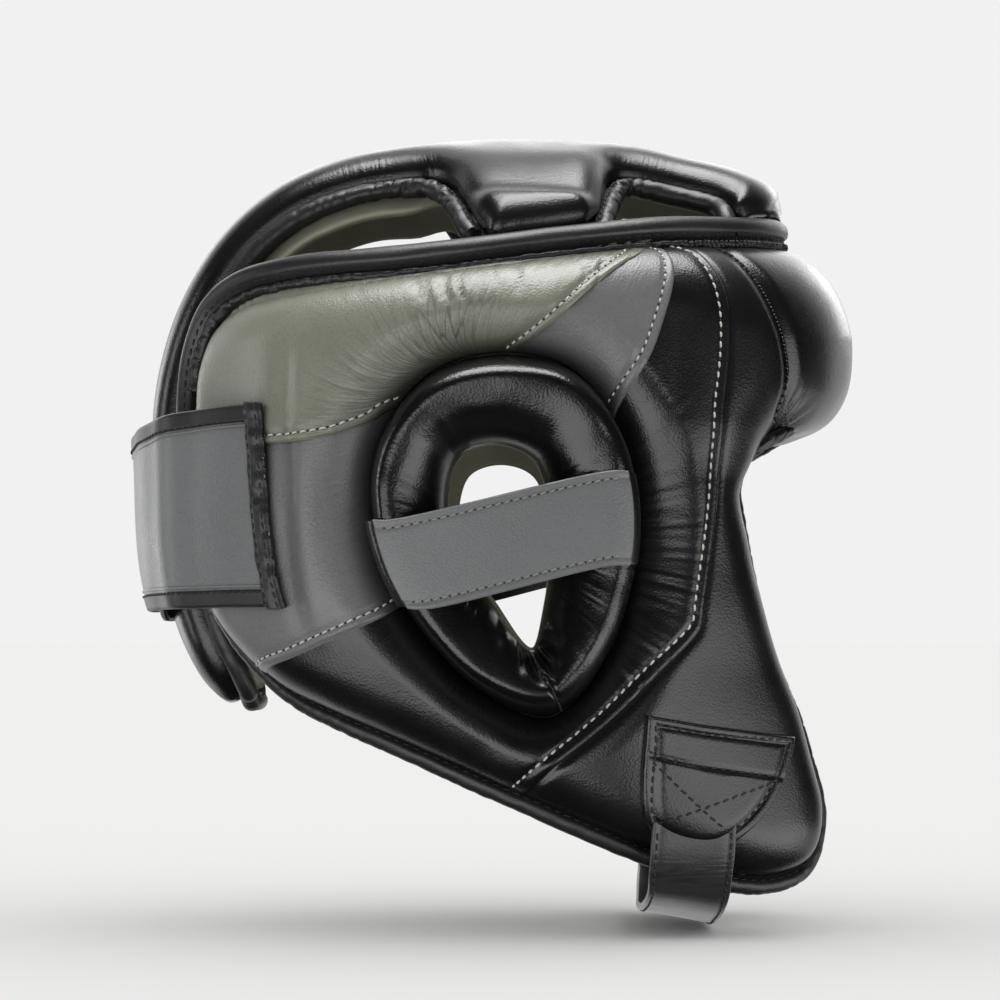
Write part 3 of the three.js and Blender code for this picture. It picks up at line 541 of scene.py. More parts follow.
# Smooth semi-gloss leather, split and surface-coated: fine grain with darker pits, cloudy gloss, and creases
# that run in from a gathered edge, their lines darkened by painted shade. On the pale leathers painted shade
# also darkens the colour deep in grooves and between parts.
# Grain and pores are drawn coarser than real ones, so that they show.
def leather(name, code, roughness, grain_mm=0.8, relief=1.0, crease_mm=1.7, crease_depth=0.00014, painted_groove_shade=False):
    pore_mm, cloud_mm, crease_length_mm, groove_shade_m = 0.5, 22, crease_mm / 0.09, 0.02
    material, tree, mm, along_surface = blank(name)
    across = add(tree, "ShaderNodeMapping", {"Scale": (1 / crease_mm, 1 / crease_length_mm, 1)},
                 {"Vector": along_surface})
    pebble = add(tree, "ShaderNodeTexVoronoi", {"Scale": 1 / grain_mm}, {"Vector": mm})
    pores = add(tree, "ShaderNodeTexNoise", {"Scale": 1 / pore_mm, "Detail": 3.0}, {"Vector": mm})
    cloud = add(tree, "ShaderNodeTexNoise", {"Scale": 1 / cloud_mm, "Detail": 4.0}, {"Vector": mm})
    wander = add(tree, "ShaderNodeTexNoise", {"Scale": 0.7, "Detail": 2.0}, {"Vector": across.outputs[0]})
    bent = add(tree, "ShaderNodeMix", {"data_type": "VECTOR", 0: 0.35},
               {4: across.outputs[0], 5: wander.outputs["Color"]})
    cells = add(tree, "ShaderNodeTexVoronoi", {"feature": "DISTANCE_TO_EDGE", "Scale": 1.0},
                {"Vector": bent.outputs[1]})
    gathered = add(tree, "ShaderNodeAttribute", {"attribute_name": "creases"})
    line = add(tree, "ShaderNodeMapRange",
               {1: 0.0, 2: 0.1, 3: 1.0, 4: 0.0, "interpolation_type": "SMOOTHSTEP"},
               {0: cells.outputs["Distance"]})
    crease_shade_mask = add(tree, "ShaderNodeMath", {"operation": "MULTIPLY"},
                 {0: line.outputs[0], 1: gathered.outputs["Fac"]})
    plump = add(tree, "ShaderNodeMapRange", {1: 0.0, 2: 0.3, "interpolation_type": "SMOOTHERSTEP"},
                {0: cells.outputs["Distance"]})
    puffed = add(tree, "ShaderNodeMath", {"operation": "MULTIPLY"},
                 {0: plump.outputs[0], 1: gathered.outputs["Fac"]})
    tone = add(tree, "ShaderNodeMix", {"data_type": "RGBA", 6: shade(code, 0.9), 7: shade(code, 1.1)},
               {0: cloud.outputs[0]})
    pits = add(tree, "ShaderNodeMapRange",
               {1: 0.4, 2: 0.8, 3: 0.0, 4: 0.38, "interpolation_type": "SMOOTHSTEP"},
               {0: pebble.outputs["Distance"]})
    grained = add(tree, "ShaderNodeMix", {"data_type": "RGBA", 7: shade(code, 0.72)},
                  {0: pits.outputs[0], 6: tone.outputs[2]})
    # Painted shade: along the crease lines the colour darkens to 0.4 of the leather's own
    dark = add(tree, "ShaderNodeMix", {"data_type": "RGBA", 7: shade(code, 0.4)},
               {0: crease_shade_mask.outputs[0], 6: grained.outputs[2]})
    base_with_painted_shade = dark
    # Painted shade: ambient occlusion darkens the colour deep in grooves and between parts, down to 0.22 of
    # it
    if painted_groove_shade:
        groove_occlusion = add(tree, "ShaderNodeAmbientOcclusion", {"samples": 4, "Distance": groove_shade_m})
        unshaded_share = add(tree, "ShaderNodeMapRange", {1: 0.3, 2: 0.85, "interpolation_type": "SMOOTHSTEP"},
                         {0: groove_occlusion.outputs["AO"]})
        base_with_painted_shade = add(tree, "ShaderNodeMix", {"data_type": "RGBA", 6: shade(code, 0.22)},
                   {0: unshaded_share.outputs[0], 7: dark.outputs[2]})
    gloss = add(tree, "ShaderNodeMapRange", {1: 0.3, 2: 0.7, 3: roughness - 0.04, 4: roughness + 0.05},
                {0: cloud.outputs[0]})
    grain = add(tree, "ShaderNodeBump", {"Strength": 0.55 * relief, "Distance": 0.00012},
                {"Height": pebble.outputs["Distance"]})
    fine = add(tree, "ShaderNodeBump", {"Strength": 0.45 * relief, "Distance": 0.00013},
               {"Height": pores.outputs[0], "Normal": grain.outputs[0]})
    sunk = add(tree, "ShaderNodeBump", {"Strength": 0.8, "Distance": crease_depth},
               {"Height": puffed.outputs[0], "Normal": fine.outputs[0]})
    surface = add(tree, "ShaderNodeBsdfPrincipled", {"IOR": 1.55},
                  {"Base Color": base_with_painted_shade.outputs[2], "Roughness": gloss.outputs[0], "Normal": sunk.outputs[0]})
    add(tree, "ShaderNodeOutputMaterial", {}, {"Surface": surface.outputs[0]})
    return material


black_leather = leather("black_leather", "#0a0a0b", 0.28, relief=0.7)

side_pads = pair("side_cushion", [ear_panel(), cheek_panel()], [black_leather], "side_pad")


# Stitching: thick waxed thread, each stitch pulled tight between two needle holes.
def thread(name, code, fibre_mm=0.25):
    material, tree, mm, _ = blank(name)
    fibre = add(tree, "ShaderNodeTexNoise", {"Scale": 1 / fibre_mm, "Detail": 2.0}, {"Vector": mm})
    tone = add(tree, "ShaderNodeMix", {"data_type": "RGBA", 6: shade(code, 0.7), 7: shade(code, 1.2)},
               {0: fibre.outputs[0]})
    relief = add(tree, "ShaderNodeBump", {"Strength": 0.6, "Distance": 0.0001}, {"Height": fibre.outputs[0]})
    surface = add(tree, "ShaderNodeBsdfPrincipled", {"Roughness": 0.6},
                  {"Base Color": tone.outputs[2], "Normal": relief.outputs[0]})
    add(tree, "ShaderNodeOutputMaterial", {}, {"Surface": surface.outputs[0]})
    return material


pale_thread = thread("pale_waxed_thread", "#a09f98")
black_thread = thread("black_waxed_thread", "#0c0c0d")

STITCH_SIDES = 6
STITCH = {"uneven": 0.05, "flattened": 0.75, "pulled": 0.5}
STITCH_STATIONS = np.array(((-0.5, 0.2), (-0.42, 0.75), (-0.2, 1), (0.2, 1), (0.42, 0.75), (0.5, 0.2)))


def unit(vectors):
    return vectors / np.linalg.norm(vectors, axis=-1, keepdims=True)


def length_along(path):
    """Millimetres from the start of a path to each of its points."""
    return np.concatenate([[0], np.cumsum(np.linalg.norm(np.diff(path, axis=0), axis=1))])


def stitches(path, outward, pitch=3.4, length=2.7, width=0.95, seed=1, look=0, slant=0.12, lift=0.25,
             ends=0.0):
    """Stitches lying along a path of points, on the surface that faces outward."""
    run = length_along(path)
    count = max(int(run[-1] / pitch), 1)
    middle = (np.arange(count) + 0.5 + ends) * run[-1] / count

    def at(values, where):
        return np.stack([np.interp(where, run, values[:, k]) for k in range(3)], -1)

    along = unit(at(path, middle + 0.8) - at(path, middle - 0.8))
    up = at(outward, middle)
    up = unit(up - (up * along).sum(1, keepdims=True) * along)
    side = np.cross(up, along)
    random = np.random.default_rng(seed)
    turn = (slant + random.normal(0, STITCH["uneven"], count))[:, None]
    along, side = along * np.cos(turn) + side * np.sin(turn), side * np.cos(turn) - along * np.sin(turn)
    reach = (length * random.normal(1, STITCH["uneven"], count))[:, None, None, None]
    spin = np.arange(STITCH_SIDES) * TURN / STITCH_SIDES
    x = STITCH_STATIONS[:, 0][None, :, None, None] * reach
    r = (STITCH_STATIONS[:, 1] * width / 2)[None, :, None, None]
    arch = lift - STITCH["pulled"] * (2 * STITCH_STATIONS[:, 0][None, :, None, None]) ** 2
    points = (at(path, middle)[:, None, None] + x * along[:, None, None]
              + r * np.cos(spin)[None, None, :, None] * side[:, None, None]
              + (r * np.sin(spin)[None, None, :, None] * STITCH["flattened"] + arch) * up[:, None, None])
    per = len(STITCH_STATIONS) * STITCH_SIDES
    ids = np.arange(per).reshape(-1, STITCH_SIDES)
    faces = quads_between(np.hstack([ids, ids[:, :1]]))
    closing = np.array([(0, 3, 2, 1), (0, 5, 4, 3), (per - 6, per - 5, per - 4, per - 3),
                        (per - 6, per - 3, per - 2, per - 1)])
    faces = np.vstack([faces[:, ::-1], closing])
    quads = (faces[None] + per * np.arange(count)[:, None, None]).reshape(-1, 4)
    return {"points": points.reshape(-1, 3), "quads": quads, "caps": [],
            "spots": np.zeros((len(quads), 4, 2)), "creases": np.zeros(count * per), "look": look}


def inset_line(line, distance):
    """A flat line moved to its left."""
    step = unit(np.gradient(line, axis=0))
    return line + distance * np.stack([-step[:, 1], step[:, 0]], -1)


def inside_shell(line, margin=1.0):
    """The stretch of a flat line that lies on the side pad, clear of its edge and of the ear ring."""
    direction = direction_of(line)
    radius = np.linalg.norm(line - ear_centre, axis=1)
    keep = (radius < side_radius(direction) - margin) & (radius > ring_radius(direction) + margin)
    return line[keep]


def on_panel(line, out):
    """Points and outward directions of a flat line on a panel."""
    u, z = line.T
    here = on_wall(u, z, out(u, z))
    du = on_wall(u + 0.4, z, out(u + 0.4, z)) - on_wall(u - 0.4, z, out(u - 0.4, z))
    dz = on_wall(u, z + 0.4, out(u, z + 0.4)) - on_wall(u, z - 0.4, out(u, z - 0.4))
    away = unit(np.cross(dz, du))
    away *= np.sign((away * (here - HEAD_MIDDLE)).sum(1, keepdims=True))
    return here, away


def sewn(line, out, seed, holes=True, **sizes):
    """A row of stitches and their needle holes along a flat line of a panel."""
    path, away = on_panel(line, out)
    rows = [stitches(path, away, seed=seed, **sizes)]
    if holes:
        rows.append(stitches(path, away, seed=seed, look=1, length=1.0, width=1.0, lift=0.0, ends=0.5,
                             pitch=sizes.get("pitch", 3.4)))
    return rows


cheek_stitch_line = inside_shell(inset_line(cheek_seam_line, -STITCH_INSET))
cheek_rows = sewn(cheek_stitch_line, ear_panel_out, 11, pitch=3.3, length=2.3, width=0.8)
pair("cheek_stitching", cheek_rows, [pale_thread, black_thread])

# Temple panels, corner panels and rear panels: olive and grey leather laid over the side pad.
# Olive laps over both greys, and each grey over the black; edges are folded under and sewn down.

TEMPLE_SEAM = (
    (53, -22), (56.5, -27), (59.6, -30), (62.5, -32.7), (67.3, -37.7), (72.3, -44.9), (75.7, -50.9),
    (79, -56.8), (82.1, -61.8), (84.7, -65.5), (87, -73),
)
TEMPLE_HEM = (
    (99, -79), (103, -81.5), (106.2, -84), (108, -86.7), (110.8, -89.3), (114.3, -91.8), (119.7, -93.6),
    (126.8, -94.3), (140, -94.8), (160, -95.5),
)
CORNER_SEAM = (
    (73, -103), (69.9, -96), (67.4, -88.3), (66.6, -81.4), (64.6, -73.1), (61.7, -63.3), (59.3, -52.1),
    (58, -45.5), (56.7, -38.8), (56, -34.3), (55.8, -30.5), (56.5, -26), (58, -20),
)
REAR_HEM = (
    (97, -134), (101.5, -140.5), (106, -146.8), (108.2, -149.8), (113.6, -154.6), (121.9, -160.4),
    (127.2, -163.7), (134.9, -167.4), (142, -171), (155, -177),
)
PANEL = 1.3  # a panel's height over its pad
RIM_REACH = 105  # about as far as the rim lies from the ear's centre
PLEAT_DEPTH = 1.15
CREASED = {"rim": 0.12, "ear": 1.3, "strip": 0.9}  # how strong the olive leather's creases are


def seam_by_share(line, near):
    """A seam from the ear ring to the shell's edge, as a direction for each share of the way."""
    direction = (direction_of(line) - near + math.pi) % TURN - math.pi + near
    ring = ring_radius(direction)
    share = (np.linalg.norm(line - ear_centre, axis=1) - ring) / (side_radius(direction) - ring)
    order = np.argsort(share)
    return lambda at: np.interp(at, share[order], direction[order])


temple_seam_line, temple_hem_line = line_of(TEMPLE_SEAM), line_of(TEMPLE_HEM)
corner_seam_line, rear_hem_line = line_of(CORNER_SEAM), line_of(REAR_HEM)
temple_seam = seam_by_share(temple_seam_line, math.radians(70))
temple_hem = seam_by_share(temple_hem_line, math.radians(145))
rear_hem = seam_by_share(rear_hem_line, math.radians(208))
corner_seam = seam_by_share(corner_seam_line, math.radians(55))


def wedge(start, end, width, depth, tuck_start=0.0, tuck_end=0.0):
    """Flat places of a panel between two seams; a tucked side runs on under its neighbour."""
    rows = crowded(depth, fine=0.6)
    first, last = start(rows)[None], end(rows)[None]
    middle = ring_radius(first) + 20
    first, last = first - tuck_start / middle, last + tuck_end / middle
    turn = mixed(first, last, crowded(width)[:, None])
    return spoke_point(turn, mixed(ring_radius(turn) + RING_GAP, side_radius(turn), rows))


def rear_out(u, z):
    hem = folded_edge(distance_to(u, z, rear_hem_line), 0, PANEL)
    return pad_out(u, z) + np.minimum(hem, PANEL + 0.4)


def corner_out(u, z):
    return pad_out(u, z) + folded_edge(distance_to(u, z, corner_seam_line), 0, PANEL)


def pleats(u, z):
    """Folds that run in from the gathered rim of the temple panel."""
    edge = distance_to(u, z, shell_line)
    angle = degrees_round(u)
    along = direction_of(np.stack([u, z], -1)) * RIM_REACH
    bunched = bump(angle, 92, 13) + 0.55 * bump(angle, 72, 9) + 0.25
    reach = mixed(7, 22, np.clip(bunched, 0, 1)) * (1 + 0.35 * noise(along / 6, 0 * along, 21))
    fold = np.abs(noise(along / 4.6 + 0.5 * noise(edge / 9, along / 20, 25), edge / 40, 22))
    fold = 1 - np.minimum(fold / 0.45, 1)
    fold = fold + 0.35 * (1 - np.minimum(np.abs(noise(along / 1.7, edge / 14, 26)) / 0.4, 1))
    deep = np.clip(bunched, 0, 1.1) * (1 - eased(edge, 0.2 * reach, reach)) * eased(z, -75, -60)
    return -PLEAT_DEPTH * deep * fold**1.3


def temple_out(u, z):
    near = np.minimum(distance_to(u, z, temple_seam_line), distance_to(u, z, temple_hem_line))
    return pad_out(u, z) + folded_edge(near, PANEL, PANEL) + pleats(u, z)


def temple_panel():
    u, z = wedge(temple_seam, temple_hem, 150, 60)
    edge, angle = distance_to(u, z, shell_line), degrees_round(u)
    rim = (1 - eased(edge, 8, 34)) * (0.35 + 0.65 * eased(-np.abs(angle - 84), -42, -12)) * eased(z, -80, -55)
    ear = (1 - eased(from_ring(u, z), 4, 30)) * eased(angle, 78, 92) * (1 - eased(angle, 118, 130))
    strip = strip_width(angle, z)
    gathered = (1 - eased(edge, strip, strip + 2.5)) * eased(strip, 1, 3)
    patchy = 0.55 + 0.45 * noise(u / 7, z / 9, 27)
    marks = (CREASED["rim"] * rim + CREASED["ear"] * ear) * patchy + CREASED["strip"] * gathered
    return closed_sheet(u, z, temple_out(u, z), pad_out(u, z) - 1, creases=np.clip(marks, 0, 1))


def rear_panel():
    u, z = wedge(temple_hem, rear_hem, 75, 45, tuck_start=7)
    ear = 0.25 * (1 - eased(from_ring(u, z), 3, 18))
    return closed_sheet(u, z, rear_out(u, z), pad_out(u, z) - 1, creases=ear)


def corner_panel():
    u, z = wedge(corner_seam, temple_seam, 45, 60, tuck_end=7)
    rim = 0.35 * (1 - eased(distance_to(u, z, shell_line), 4, 26))
    return closed_sheet(u, z, corner_out(u, z), pad_out(u, z) - 1, creases=rim)


# The olive and grey leathers carry painted shade in their grooves, from ambient occlusion
olive_leather = leather("olive_leather", "#606156", 0.34, crease_mm=1.7, crease_depth=0.00024, painted_groove_shade=True)
grey_leather = leather("grey_leather", "#545455", 0.36, painted_groove_shade=True)

temple_panels = pair("temple_leather", [temple_panel()], [olive_leather], "temple_panel")
corner_panels = pair("corner_leather", [corner_panel()], [grey_leather], "corner_panel")
rear_panels = pair("rear_leather", [rear_panel()], [grey_leather], "rear_panel")

panel_rows = [
    *sewn(inside_shell(inset_line(temple_seam_line, -2.6)), temple_out, 31, pitch=2.9, length=1.9, width=0.7),
    *sewn(inside_shell(inset_line(temple_hem_line, -2.8)), temple_out, 32, pitch=3.2, length=2.3, width=0.75),
    *sewn(inside_shell(inset_line(corner_seam_line, 2.9)), corner_out, 33, pitch=2.9, length=1.6, width=0.75),
    *sewn(inside_shell(inset_line(rear_hem_line, -2.8)), rear_out, 34, pitch=3.2, length=2.3, width=0.75),
]
pair("panel_stitching", panel_rows, [pale_thread, black_thread])

# Ear pads: an egg-shaped stuffed ring of black leather set in the side pad's hole, gathered and
# seamed at the pointed foot of its opening.

RING = {"crest": 28, "slope_to": 21, "wall": 5, "outer": 9, "inner": 13}
RING_RELIEF = {"pleats": 4.4, "seam": 1.1, "ripples": 0.2, "uneven": 0.3}
FOOT_PLEATS = (  # millimetres beside the seam, half width, depth, and share of the ring they reach
    (-11, 1.7, 0.5, 0.5), (-6, 1.2, 0.9, 0.6), (-2.2, 0.9, 1.0, 0.62), (2.2, 0.9, 1.0, 0.62),
    (5.8, 1.2, 0.9, 0.55), (10.5, 1.7, 0.5, 0.45),
)
foot = direction_of(flat(EAR_HOLE[5]))  # the opening's pointed foot
ring_turns = foot + TURN * np.linspace(0, 1, 490, endpoint=False)
ring_turns = (ring_turns - 0.6 * np.sin(ring_turns - foot))[:, None]  # closest together at the foot


def ring_out(share, width, turn):
    crest = mixed(RING["slope_to"], RING["crest"], eased(share, 0, 0.8))
    full = pillow((1 - share) * width, RING["outer"], SIDE_PAD["fullness"])
    full = full * pillow(share * width, RING["inner"], 2)
    out = RING["wall"] + (crest - RING["wall"]) * full
    off = ((turn - foot + math.pi) % TURN - math.pi) * (hole_radius(turn) + share * width)
    for at, spread, depth, reach in FOOT_PLEATS:
        fold = bump(off, at * (0.5 + 1.2 * share), spread * (0.5 + 1.3 * share))
        fold = RING_RELIEF["pleats"] * depth * fold * (1 - eased(share, 0.25 * reach, reach))
        out = out - fold * eased(share, -0.02, 0.12)
    seam = RING_RELIEF["seam"] * bump(off, 0, 0.8) * eased(share, 0.3, 0.45)
    ripples = RING_RELIEF["ripples"] * noise(turn * 30, share * 2, 45) * (1 - eased(share * width, 3, 17))
    return out - seam + RING_RELIEF["uneven"] * noise(turn * 6, share * 3, 41) + ripples


def ear_pad():
    shares = np.concatenate([[0], crowded(36, fine=0.5)[1:-1], [1]])
    hole, ring = hole_radius(ring_turns) + 0.2, ring_radius(ring_turns) - 0.2
    width = ring - hole
    u, z = spoke_point(ring_turns, mixed(hole, ring, shares))
    face = on_wall(u, z, ring_out(shares, width, ring_turns))
    behind = on_wall(u[:, [-1, 0]], z[:, [-1, 0]], PAD_BACK)
    near = (1 - eased(shares * width, 4, 20)) * (0.12 + 0.2 * noise(ring_turns * 9, shares * 4, 42))
    marks = np.hstack([np.clip(near, 0, 1), np.zeros((len(u), 2))])
    return loft(np.concatenate([face, behind], 1), around=True, creases=marks)


ear_leather = leather("ear_leather", "#080809", 0.22, relief=0.7, crease_mm=1.4)
ear_pads = pair("ear_cushion", [ear_pad()], [ear_leather], "ear_pad")


def ring_place(share, turn):
    turn = np.asarray(turn, float)
    hole, ring = hole_radius(turn), ring_radius(turn)
    u, z = spoke_point(turn, mixed(hole, ring, share))
    return on_wall(u, z, ring_out(share, ring - hole, turn))


foot_shares = np.linspace(0.3, 0.97, 40)
foot_path = ring_place(foot_shares, np.full_like(foot_shares, foot))
foot_away = np.tile((0.1, -1.0, -0.3), (len(foot_shares), 1))
groove_turns = np.radians(np.linspace(-88, 62, 200))
groove_path, groove_over = (
    on_wall(*spoke_point(groove_turns, ring_radius(groove_turns) + outside), out)
    for outside, out in ((0.9, 10), (1.4, 14))
)
ear_seam_rows = [stitches(foot_path, foot_away, pitch=2.6, length=2.0, width=0.7, seed=43),
                 stitches(groove_path, groove_over - groove_path, pitch=3.4, length=3.0, width=0.9, seed=44,
                          slant=0.3)]
pair("ear_seam_stitching", ear_seam_rows, [black_thread])

# Ear straps: a doubled band of grey leather stretched across each ear ring, its long edges folded and
# sewn with grey thread, its ends turned down into the groove round the ring.

EAR_STRAP = {"thickness": 1.6, "width": 30, "rise": -2.4, "slope": 0.2, "front_tuck": 2.4, "sewn": 2.6}
STRAP_TAB = {"stations": 29, "sunk": 0.4}  # the black tab under each turned end
STRAP_END = ((-0.7, 15), (0.2, 24.5), (2.8, 28.6), (9, 29.3))  # inside the ring's outline, and out


def ring_reach(rise, side):
    """How far the ring reaches forward or back at a height over the ear's centre."""
    reach = np.full(np.shape(rise), 35.0)
    for _ in range(10):  # settles from a first guess
        reach = np.sqrt(ring_radius(np.arctan2(rise, side * reach)) ** 2 - rise**2)
    return reach


def strap_rows(up):
    """Points of the strap's outer face, a row across it for each place along it."""
    rows = []
    for side, ends in ((1, STRAP_END), (-1, STRAP_END[::-1])):
        level = EAR_STRAP["rise"] + up
        rise = level + side * EAR_STRAP["slope"] * ring_reach(level, side)
        for inset, out in ends:
            reach = ring_reach(rise, side) - inset - (EAR_STRAP["front_tuck"] if side > 0 else 0)
            rows.append(on_wall(ear_centre[0] + side * reach, ear_centre[1] + rise, out))
    return np.array(rows)


def ribbon(face, thickness, dips=(), edge=0.6, creases=None):
    """A strap through rows of points across it, with rounded edges and a dip along each sewn row."""
    along, across = np.gradient(face, axis=0), np.gradient(face, axis=1)
    away = unit(np.cross(along, across))
    place = np.linalg.norm(face - face[:, :1], axis=-1)
    width = place[:, -1:]
    from_edge = np.minimum(place, width - place)
    sink = thickness / 2 * (1 - np.sqrt(1 - (1 - np.clip(from_edge / edge, 0, 1)) ** 2))
    outer = sink.copy()
    for at, depth, spread in dips:
        outer += depth * bump(from_edge, at, spread)
    facing = np.sign((away * (face - HEAD_MIDDLE)).sum())
    top = face - facing * away * outer[..., None]
    under = face - facing * away * (thickness - sink)[..., None]
    marks = None if creases is None else np.hstack([creases, 0 * creases])
    return loft(np.concatenate([top, under[:, ::-1]], 1), creases=marks), top, facing * away


up = (crowded(EAR_STRAP["width"], fine=0.3, coarse=1.4, span=5) - 0.5) * EAR_STRAP["width"]
strap_table = strap_rows(up)
read_strap = smooth_line(strap_table.reshape(len(strap_table), -1))
# Stations along it, closest together at the turned ends
strap_at = np.concatenate([np.linspace(0, 3, 40), np.linspace(3, 4, 60)[1:-1], np.linspace(4, 7, 40)])
strap_face = read_strap(strap_at).reshape(-1, len(up), 3)
tab = STRAP_TAB["stations"]
strap_body, strap_top, strap_away = ribbon(strap_face[tab:-tab], EAR_STRAP["thickness"],
                                           dips=((EAR_STRAP["sewn"], 0.4, 0.7),))
strap_tabs = []
for end in (strap_face[:tab + 3, 1:-1], strap_face[-tab - 3:, 1:-1]):
    away = ribbon(end, EAR_STRAP["thickness"])[2]
    strap_tabs.append({**ribbon(end - STRAP_TAB["sunk"] * away, EAR_STRAP["thickness"])[0], "look": 1})
# The strap leather carries painted shade in its grooves, from ambient occlusion
strap_leather = leather("strap_leather", "#525354", 0.35, grain_mm=0.7, relief=1.2, painted_groove_shade=True)
strap_looks = [strap_leather, black_leather]
ear_straps = pair("ear_band", [strap_body, *strap_tabs], strap_looks, "ear_strap")


def beside(top, away, up, at):
    """The stitch line at a height across a ribbon."""
    k = int(np.argmin(np.abs(up - at)))
    return top[:, k], away[:, k]


sewn_at = EAR_STRAP["width"] / 2 - EAR_STRAP["sewn"]
strap_stitch_rows = []
for seed, at in ((51, sewn_at), (52, -sewn_at)):
    path, away = beside(strap_top, strap_away, up, at)
    path, away = path[6:-6], away[6:-6]
    strap_stitch_rows.append(stitches(path, away, pitch=2.9, length=2.1, width=0.72, seed=seed, slant=0.2))
    strap_stitch_rows.append(stitches(path, away, pitch=2.9, length=0.9, width=0.9, seed=seed, look=1,
                                      lift=0.0, ends=0.5))
grey_thread = thread("grey_waxed_thread", "#6a6a66")
pair("ear_strap_stitching", strap_stitch_rows, [grey_thread, black_thread])

# Brow pad: one fat roll of foam under black leather across the forehead, seamed to each side pad and
# gathered along the rim and at the eye corners. Its suede lining lies inside it.

BROW_MIDDLE = (-87.5, -21.5)  # heights of its lower and upper edge in front
brow_seam = smooth_line(flat(BROW_SEAM))
eye_corner = flat(BROW_SEAM[0])
BROW_GATHERS = {"rim": 1.3, "eye": 2.2}


def brow_place(turn, rise):
    """Flat places: a share of the way round to a seam, and a share of the height."""
    seam = brow_seam(rise * (len(BROW_SEAM) - 1))
    angle = np.abs(turn) * (degrees_round(seam[..., 0]) - 0.3)
    z = mixed(mixed(*BROW_MIDDLE, rise), seam[..., 1], turn * turn)
    return (90 - angle) * MM_PER_DEGREE, z


def brow_out(u, z):
    edge = distance_to(u, z, shell_line)
    around = degrees_round(u) * MM_PER_DEGREE
    ruche = 1 - eased(edge, 2.2, 5.5)
    teeth = np.abs(noise(around / 2.3, edge / 30, 61)) * ruche * eased(z, -60, -40)
    corner = np.hypot(u - eye_corner[0], z - eye_corner[1])
    spread = np.arctan2(z - eye_corner[1], u - eye_corner[0])
    gathers = np.abs(noise(spread * 7, corner / 30, 62)) * (1 - eased(corner, 5, 24))
    return pad_out(u, z) - BROW_GATHERS["rim"] * teeth - BROW_GATHERS["eye"] * gathers


def sided(turn, points):
    """Mirrors the stations past the middle to the left."""
    return np.where((turn > 0)[..., None], points * (1, -1, 1), points)


def brow_pad():
    turn = np.linspace(-1, 1, 260)[:, None]
    rise = crowded(75, fine=0.5, coarse=1.0)[None]
    u, z = brow_place(turn, rise)
    keep = few(rise.size, 9)
    face = sided(turn, on_wall(u, z, brow_out(u, z)))
    behind = sided(turn, on_wall(u[:, keep], z[:, keep], PAD_BACK))
    marks = 0.1 * (1 - eased(distance_to(u, z, shell_line), 2, 9))
    marks = np.hstack([marks, np.zeros((len(turn), len(keep)))])
    return loft(np.concatenate([face, behind], 1), creases=marks)


def brow_lining():
    turn, rise = np.linspace(-1, 1, 120)[:, None], np.linspace(0, 1, 30)[None]
    u, z = brow_place(turn, rise)
    sag = 0.25 * noise(u / 15, z / 15, 63)
    inner, outer = (sided(turn, on_wall(u, z, out)) for out in (sag, LINING))
    return loft(np.concatenate([outer, inner[:, ::-1]], 1))


brow_leather = leather("brow_leather", "#08080a", 0.27, relief=0.7)
brow = piece("brow_cushion", [brow_pad()], [brow_leather], ["brow_pad"])
lining = piece("brow_lining", [brow_lining()], [olive_suede], ["lining_brow"])

seam_rows = sewn(brow_seam(np.linspace(0.6, 7.9, 90)), lambda u, z: pad_out(u, z) + 0.5, 64, pitch=2.6,
                 length=0.9, width=0.35, slant=0.5, lift=0.05)
pair("brow_seam_stitching", seam_rows, [grey_thread, black_thread])

# Crown: one cross of foam under black leather, from the forehead rim over the top and on down the back
# to the nape, its two wings sewn down on the rim in a fat roll. Its lining is the same suede.

CROWN = {"thickness": 13, "edge": 4, "round": 15, "fullness": 2.2, "bend": 104, "blunt": 20, "lip": 5}
WING_ROLL = {"round": 10.5, "high": 9.2, "valley": 2.8, "behind": 20}  # the fat roll along each wing's end
FRONT_BOW = {"depth": 7, "at": 30, "fades": 40}
CROWN_UNEVEN = 0.5
CROWN_LINING = {"turned": 4.5, "slack": 6.5, "droop": 4, "below": 1.8}  # out under the bindings, and down
CROWN_SECTIONS = (  # the inner line from front to nape, and the half width
    (97.5, -14.8, 38), (90, -10.9, 33), (79.5, -7.4, 31), (66, -4.5, 30), (54, -1.6, 31), (47, -0.5, 34.5),
    (44, -0.1, 42), (42.5, 0, 54), (41, 0.1, 66), (38, 0.4, 73), (28, 1, 78), (14, 1.4, 81.5), (5, 1.3, 82.5),
    (0, 1.1, 75), (-5, 0.8, 59), (-10, 0.4, 45), (-17, -0.4, 36), (-27, -1.8, 31.5), (-40, -4.1, 29.5),
    (-53, -8.4, 28.5), (-65, -15, 27.5), (-76, -24.5, 26.5), (-86, -38, 25.5), (-93, -52, 24),
    (-98, -68, 22.8), (-99.8, -84, 22.4), (-99.2, -100, 22.4), (-98, -116, 22.8),
    (-95.5, -133, 24), (-92, -148, 24.5), (-87.5, -159, 24), (-82, -169, 20), (-78, -176, 11),
)
sections = np.array(CROWN_SECTIONS)
section_run = length_along(sections[:, :2])
crown_line = smooth_table(np.column_stack([section_run, sections[:, :2]]).tolist())
crown_length = section_run[-1]
crown_edge = smooth_line(np.column_stack([section_run, sections[:, 2]]))


